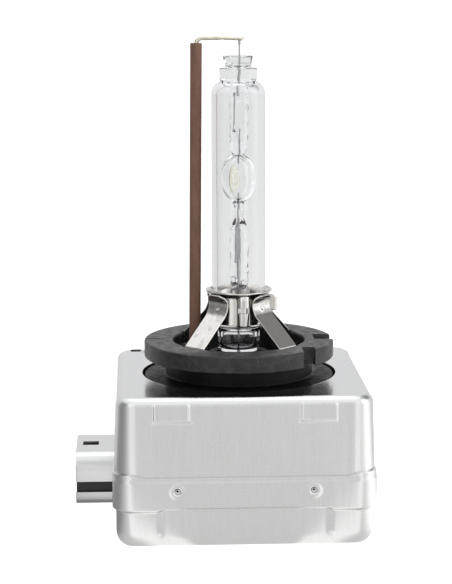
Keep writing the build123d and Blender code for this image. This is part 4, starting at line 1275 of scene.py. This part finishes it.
class BULB_OT_igniter(bpy.types.Operator):
    """Finishes for the igniter's inner parts, whose CAD shapes are kept"""
    bl_idname = "bulb.igniter"
    bl_label = "Igniter Parts"

    def execute(self, context):
        brass = bpy.data.materials["Tinned brass"]
        nickel = bpy.data.materials["Nickel"]
        copper = plain_finish("Enamelled copper", (0.55, 0.20, 0.08), (0.70, 0.32, 0.14), 0.3, 1.0, stretch=8.0)
        foil = plain_finish("Copper strip", (0.72, 0.36, 0.20), (0.80, 0.45, 0.27), 0.28, 1.0, stretch=0.2)
        matt = {
            "igniter_case": ("Housing plastic", (0.035, 0.035, 0.037), (0.055, 0.055, 0.057), 0.5),
            "transformer_core": ("Ferrite", (0.07, 0.07, 0.075), (0.11, 0.11, 0.115), 0.6),
            "transformer_bobbin": ("Bobbin plastic", (0.62, 0.58, 0.48), (0.70, 0.66, 0.56), 0.5),
            "capacitor": ("Capacitor jacket", (0.10, 0.20, 0.42), (0.13, 0.25, 0.50), 0.35),
            "spark_gap_body": ("White ceramic", (0.80, 0.79, 0.76), (0.88, 0.87, 0.84), 0.35),
            "bleeder_resistors": ("Resistor coat", (0.52, 0.42, 0.28), (0.60, 0.50, 0.36), 0.45),
        }
        for node, finish in matt.items():
            coat_node(node, plain_finish(*finish, 0.0))
        metal = {"secondary_winding": copper, "primary_winding": foil, "spark_gap_electrodes": nickel,
                 "lead_frame": brass, "hv_contact": brass, "return_contact": brass}
        for node, material in metal.items():
            coat_node(node, material)
        return {"FINISHED"}


# ---- studio -------------------------------------------------------------------------------------
def soft_light(name, place, width, height, power):
    """Rectangular soft light at a place, facing the origin."""
    lamp = bpy.data.lights.new(name, "AREA")
    lamp.shape = "RECTANGLE"
    lamp.size, lamp.size_y = width, height
    lamp.energy = power
    light = bpy.data.objects.new(name, lamp)
    bpy.context.scene.collection.objects.link(light)
    light.location = place
    light.rotation_euler = (-Vector(place)).to_track_quat("-Z", "Y").to_euler()


class BULB_OT_stage(bpy.types.Operator):
    """Pale floor, soft studio lights, sky and camera"""
    bl_idname = "bulb.stage"
    bl_label = "Stage"

    def execute(self, context):
        self.floor()
        self.lights()
        self.sky(context.scene)
        self.camera(context.scene)
        return {"FINISHED"}

    def floor(self):
        """Wide floor, white to the eye, that lights the metal as the studio round it does."""
        z, reach = TRAY_LOW_Z - 0.02, 8000
        rings = [[(r * cos(a), r * sin(a), z) for a in around(64)] for r in (reach, 400, 60)]
        floor = new_piece("studio_floor", skin(rings))

        def fill(bm):
            middle = [edge for edge in bm.edges if edge.is_boundary and edge.verts[0].co.length < 0.1]
            bmesh.ops.holes_fill(bm, edges=middle)
            bmesh.ops.recalc_face_normals(bm, faces=bm.faces)

        edit_mesh(floor.data, fill)
        material, tree, shader = new_material("Studio floor", Roughness=0.9)
        shader.inputs["Specular IOR Level"].default_value = 0.0
        ray = add_node(tree, "ShaderNodeLightPath")
        place = add_node(tree, "ShaderNodeTexCoord")
        spot = add_node(tree, "ShaderNodeSeparateXYZ", {0: place.outputs["Object"]})
        shade = use_group(tree, "Studio Shade", X=spot.outputs[0], Y=spot.outputs[1])["Value"]
        away = add_node(tree, "ShaderNodeVectorMath", {0: place.outputs["Object"]}, operation="LENGTH")
        near = remapped(tree, away.outputs["Value"], 0.040, 0.027, 0.0, 0.10)
        shade = maths(tree, "ADD", shade, near)
        seen = ray.outputs["Is Camera Ray"]
        glow = maths(tree, "ADD", maths(tree, "MULTIPLY", maths(tree, "SUBTRACT", 1.0, seen), shade),
                     maths(tree, "MULTIPLY", seen, 1.3))
        tree.links.new(glow, shader.inputs["Emission Strength"])
        patch = use_group(tree, "Smudges", Scale=0.02, Low=0.2, High=0.8)["Mask"]
        tone = colour("floor")
        pale = blend_colour(tree, patch, darker(tone, 0.985), tone)
        dim = blend_colour(tree, 0.9, pale, (0, 0, 0, 1.0))
        wire_up(tree, shader, Base_Color=dim, Emission_Color=pale)
        floor.data.materials.append(material)

    def lights(self):
        soft_light("top_light", (0.05, 0.10, 0.75), 0.70, 0.60, 0.8)
        soft_light("left_light", (-0.45, -0.55, 0.30), 0.10, 0.50, 0.12)
        soft_light("right_light", (0.60, -0.10, 0.25), 0.30, 0.70, 0.2)
        soft_light("front_light", (-0.10, -0.80, 0.62), 0.60, 0.25, 0.1)

    def sky(self, scene):
        """Sky as bright as the studio, even overhead, with a dark flag high at the back right."""
        world = bpy.data.worlds.new("Studio sky")
        scene.world = world
        world.use_nodes = True
        tree = world.node_tree
        place = add_node(tree, "ShaderNodeTexCoord")
        split = add_node(tree, "ShaderNodeSeparateXYZ", {0: place.outputs["Generated"]})
        level = use_group(tree, "Studio Shade", X=split.outputs[0], Y=split.outputs[1])["Value"]
        height = split.outputs[2]
        flag_at = (0.63, 0.35, 0.69)
        toward = add_node(tree, "ShaderNodeVectorMath", {0: place.outputs["Generated"], 1: flag_at},
                          operation="DOT_PRODUCT").outputs["Value"]
        high_flag = remapped(tree, toward, 0.86, 0.95, 1.0, 0.30)
        overhead = remapped(tree, height, 0.45, 0.80)
        shade = maths(tree, "ADD", maths(tree, "MULTIPLY", level, maths(tree, "SUBTRACT", 1.0, overhead)),
                      maths(tree, "MULTIPLY", overhead, 1.08))
        shade = maths(tree, "MULTIPLY", shade, high_flag)
        back = tree.nodes["Background"]
        lift = add_node(tree, "ShaderNodeCombineColor", {0: shade, 1: shade,
                                                         2: maths(tree, "MULTIPLY", shade, 1.02)})
        tree.links.new(lift.outputs[0], back.inputs["Color"])
        back.inputs["Strength"].default_value = 1.08
        scene.view_settings.view_transform = "Standard"

    def camera(self, scene):
        lens = bpy.data.cameras.new("camera")
        camera = bpy.data.objects.new("camera", lens)
        scene.collection.objects.link(camera)
        right = Vector((0.99893674, -0.04598574, -0.00327052))
        up = Vector((0.01106416, 0.17026670, 0.98533590))
        back = right.cross(up)
        turn = Matrix((right, up, back)).transposed()
        camera.matrix_world = Matrix.LocRotScale(Vector((-16.530, -316.549, 62.834)) * MM, turn, None)
        lens.sensor_width = 36.0
        lens.lens = 117.47
        lens.clip_start, lens.clip_end = 0.01, 50.0
        scene.camera = camera


# ---- panel and start ----------------------------------------------------------------------------
STEPS = (BULB_OT_outer_envelope, BULB_OT_arc_tube, BULB_OT_foils_and_leads, BULB_OT_ceramic_tube,
         BULB_OT_return_wire, BULB_OT_clamp_band, BULB_OT_spring_legs, BULB_OT_cap, BULB_OT_upper_cover,
         BULB_OT_lower_tray, BULB_OT_connector, BULB_OT_igniter, BULB_OT_stage)


class BULB_PT_panel(bpy.types.Panel):
    """Lists the bulb's pieces, sizes and colours"""
    bl_idname = "BULB_PT_panel"
    bl_label = "Headlight Bulb"
    bl_space_type = "VIEW_3D"
    bl_region_type = "UI"
    bl_category = "Bulb"

    def draw(self, context):
        for step in STEPS:
            self.layout.operator(step.bl_idname)
        for held, group in ((context.scene.bulb_sizes, BulbSizes), (context.scene.bulb_colours, BulbColours)):
            box = self.layout.box()
            for name in group.__annotations__:
                box.prop(held, name)


CLASSES = (BulbSizes, BulbColours, *STEPS, BULB_PT_panel)


def register():
    for made in CLASSES:
        bpy.utils.register_class(made)
    bpy.types.Scene.bulb_sizes = bpy.props.PointerProperty(type=BulbSizes)
    bpy.types.Scene.bulb_colours = bpy.props.PointerProperty(type=BulbColours)


def unregister():
    del bpy.types.Scene.bulb_colours
    del bpy.types.Scene.bulb_sizes
    for made in reversed(CLASSES):
        bpy.utils.unregister_class(made)


def main():
    register()
    for step in STEPS:
        family, action = step.bl_idname.split(".")
        getattr(getattr(bpy.ops, family), action)()


if __name__ == "__main__":
    main()
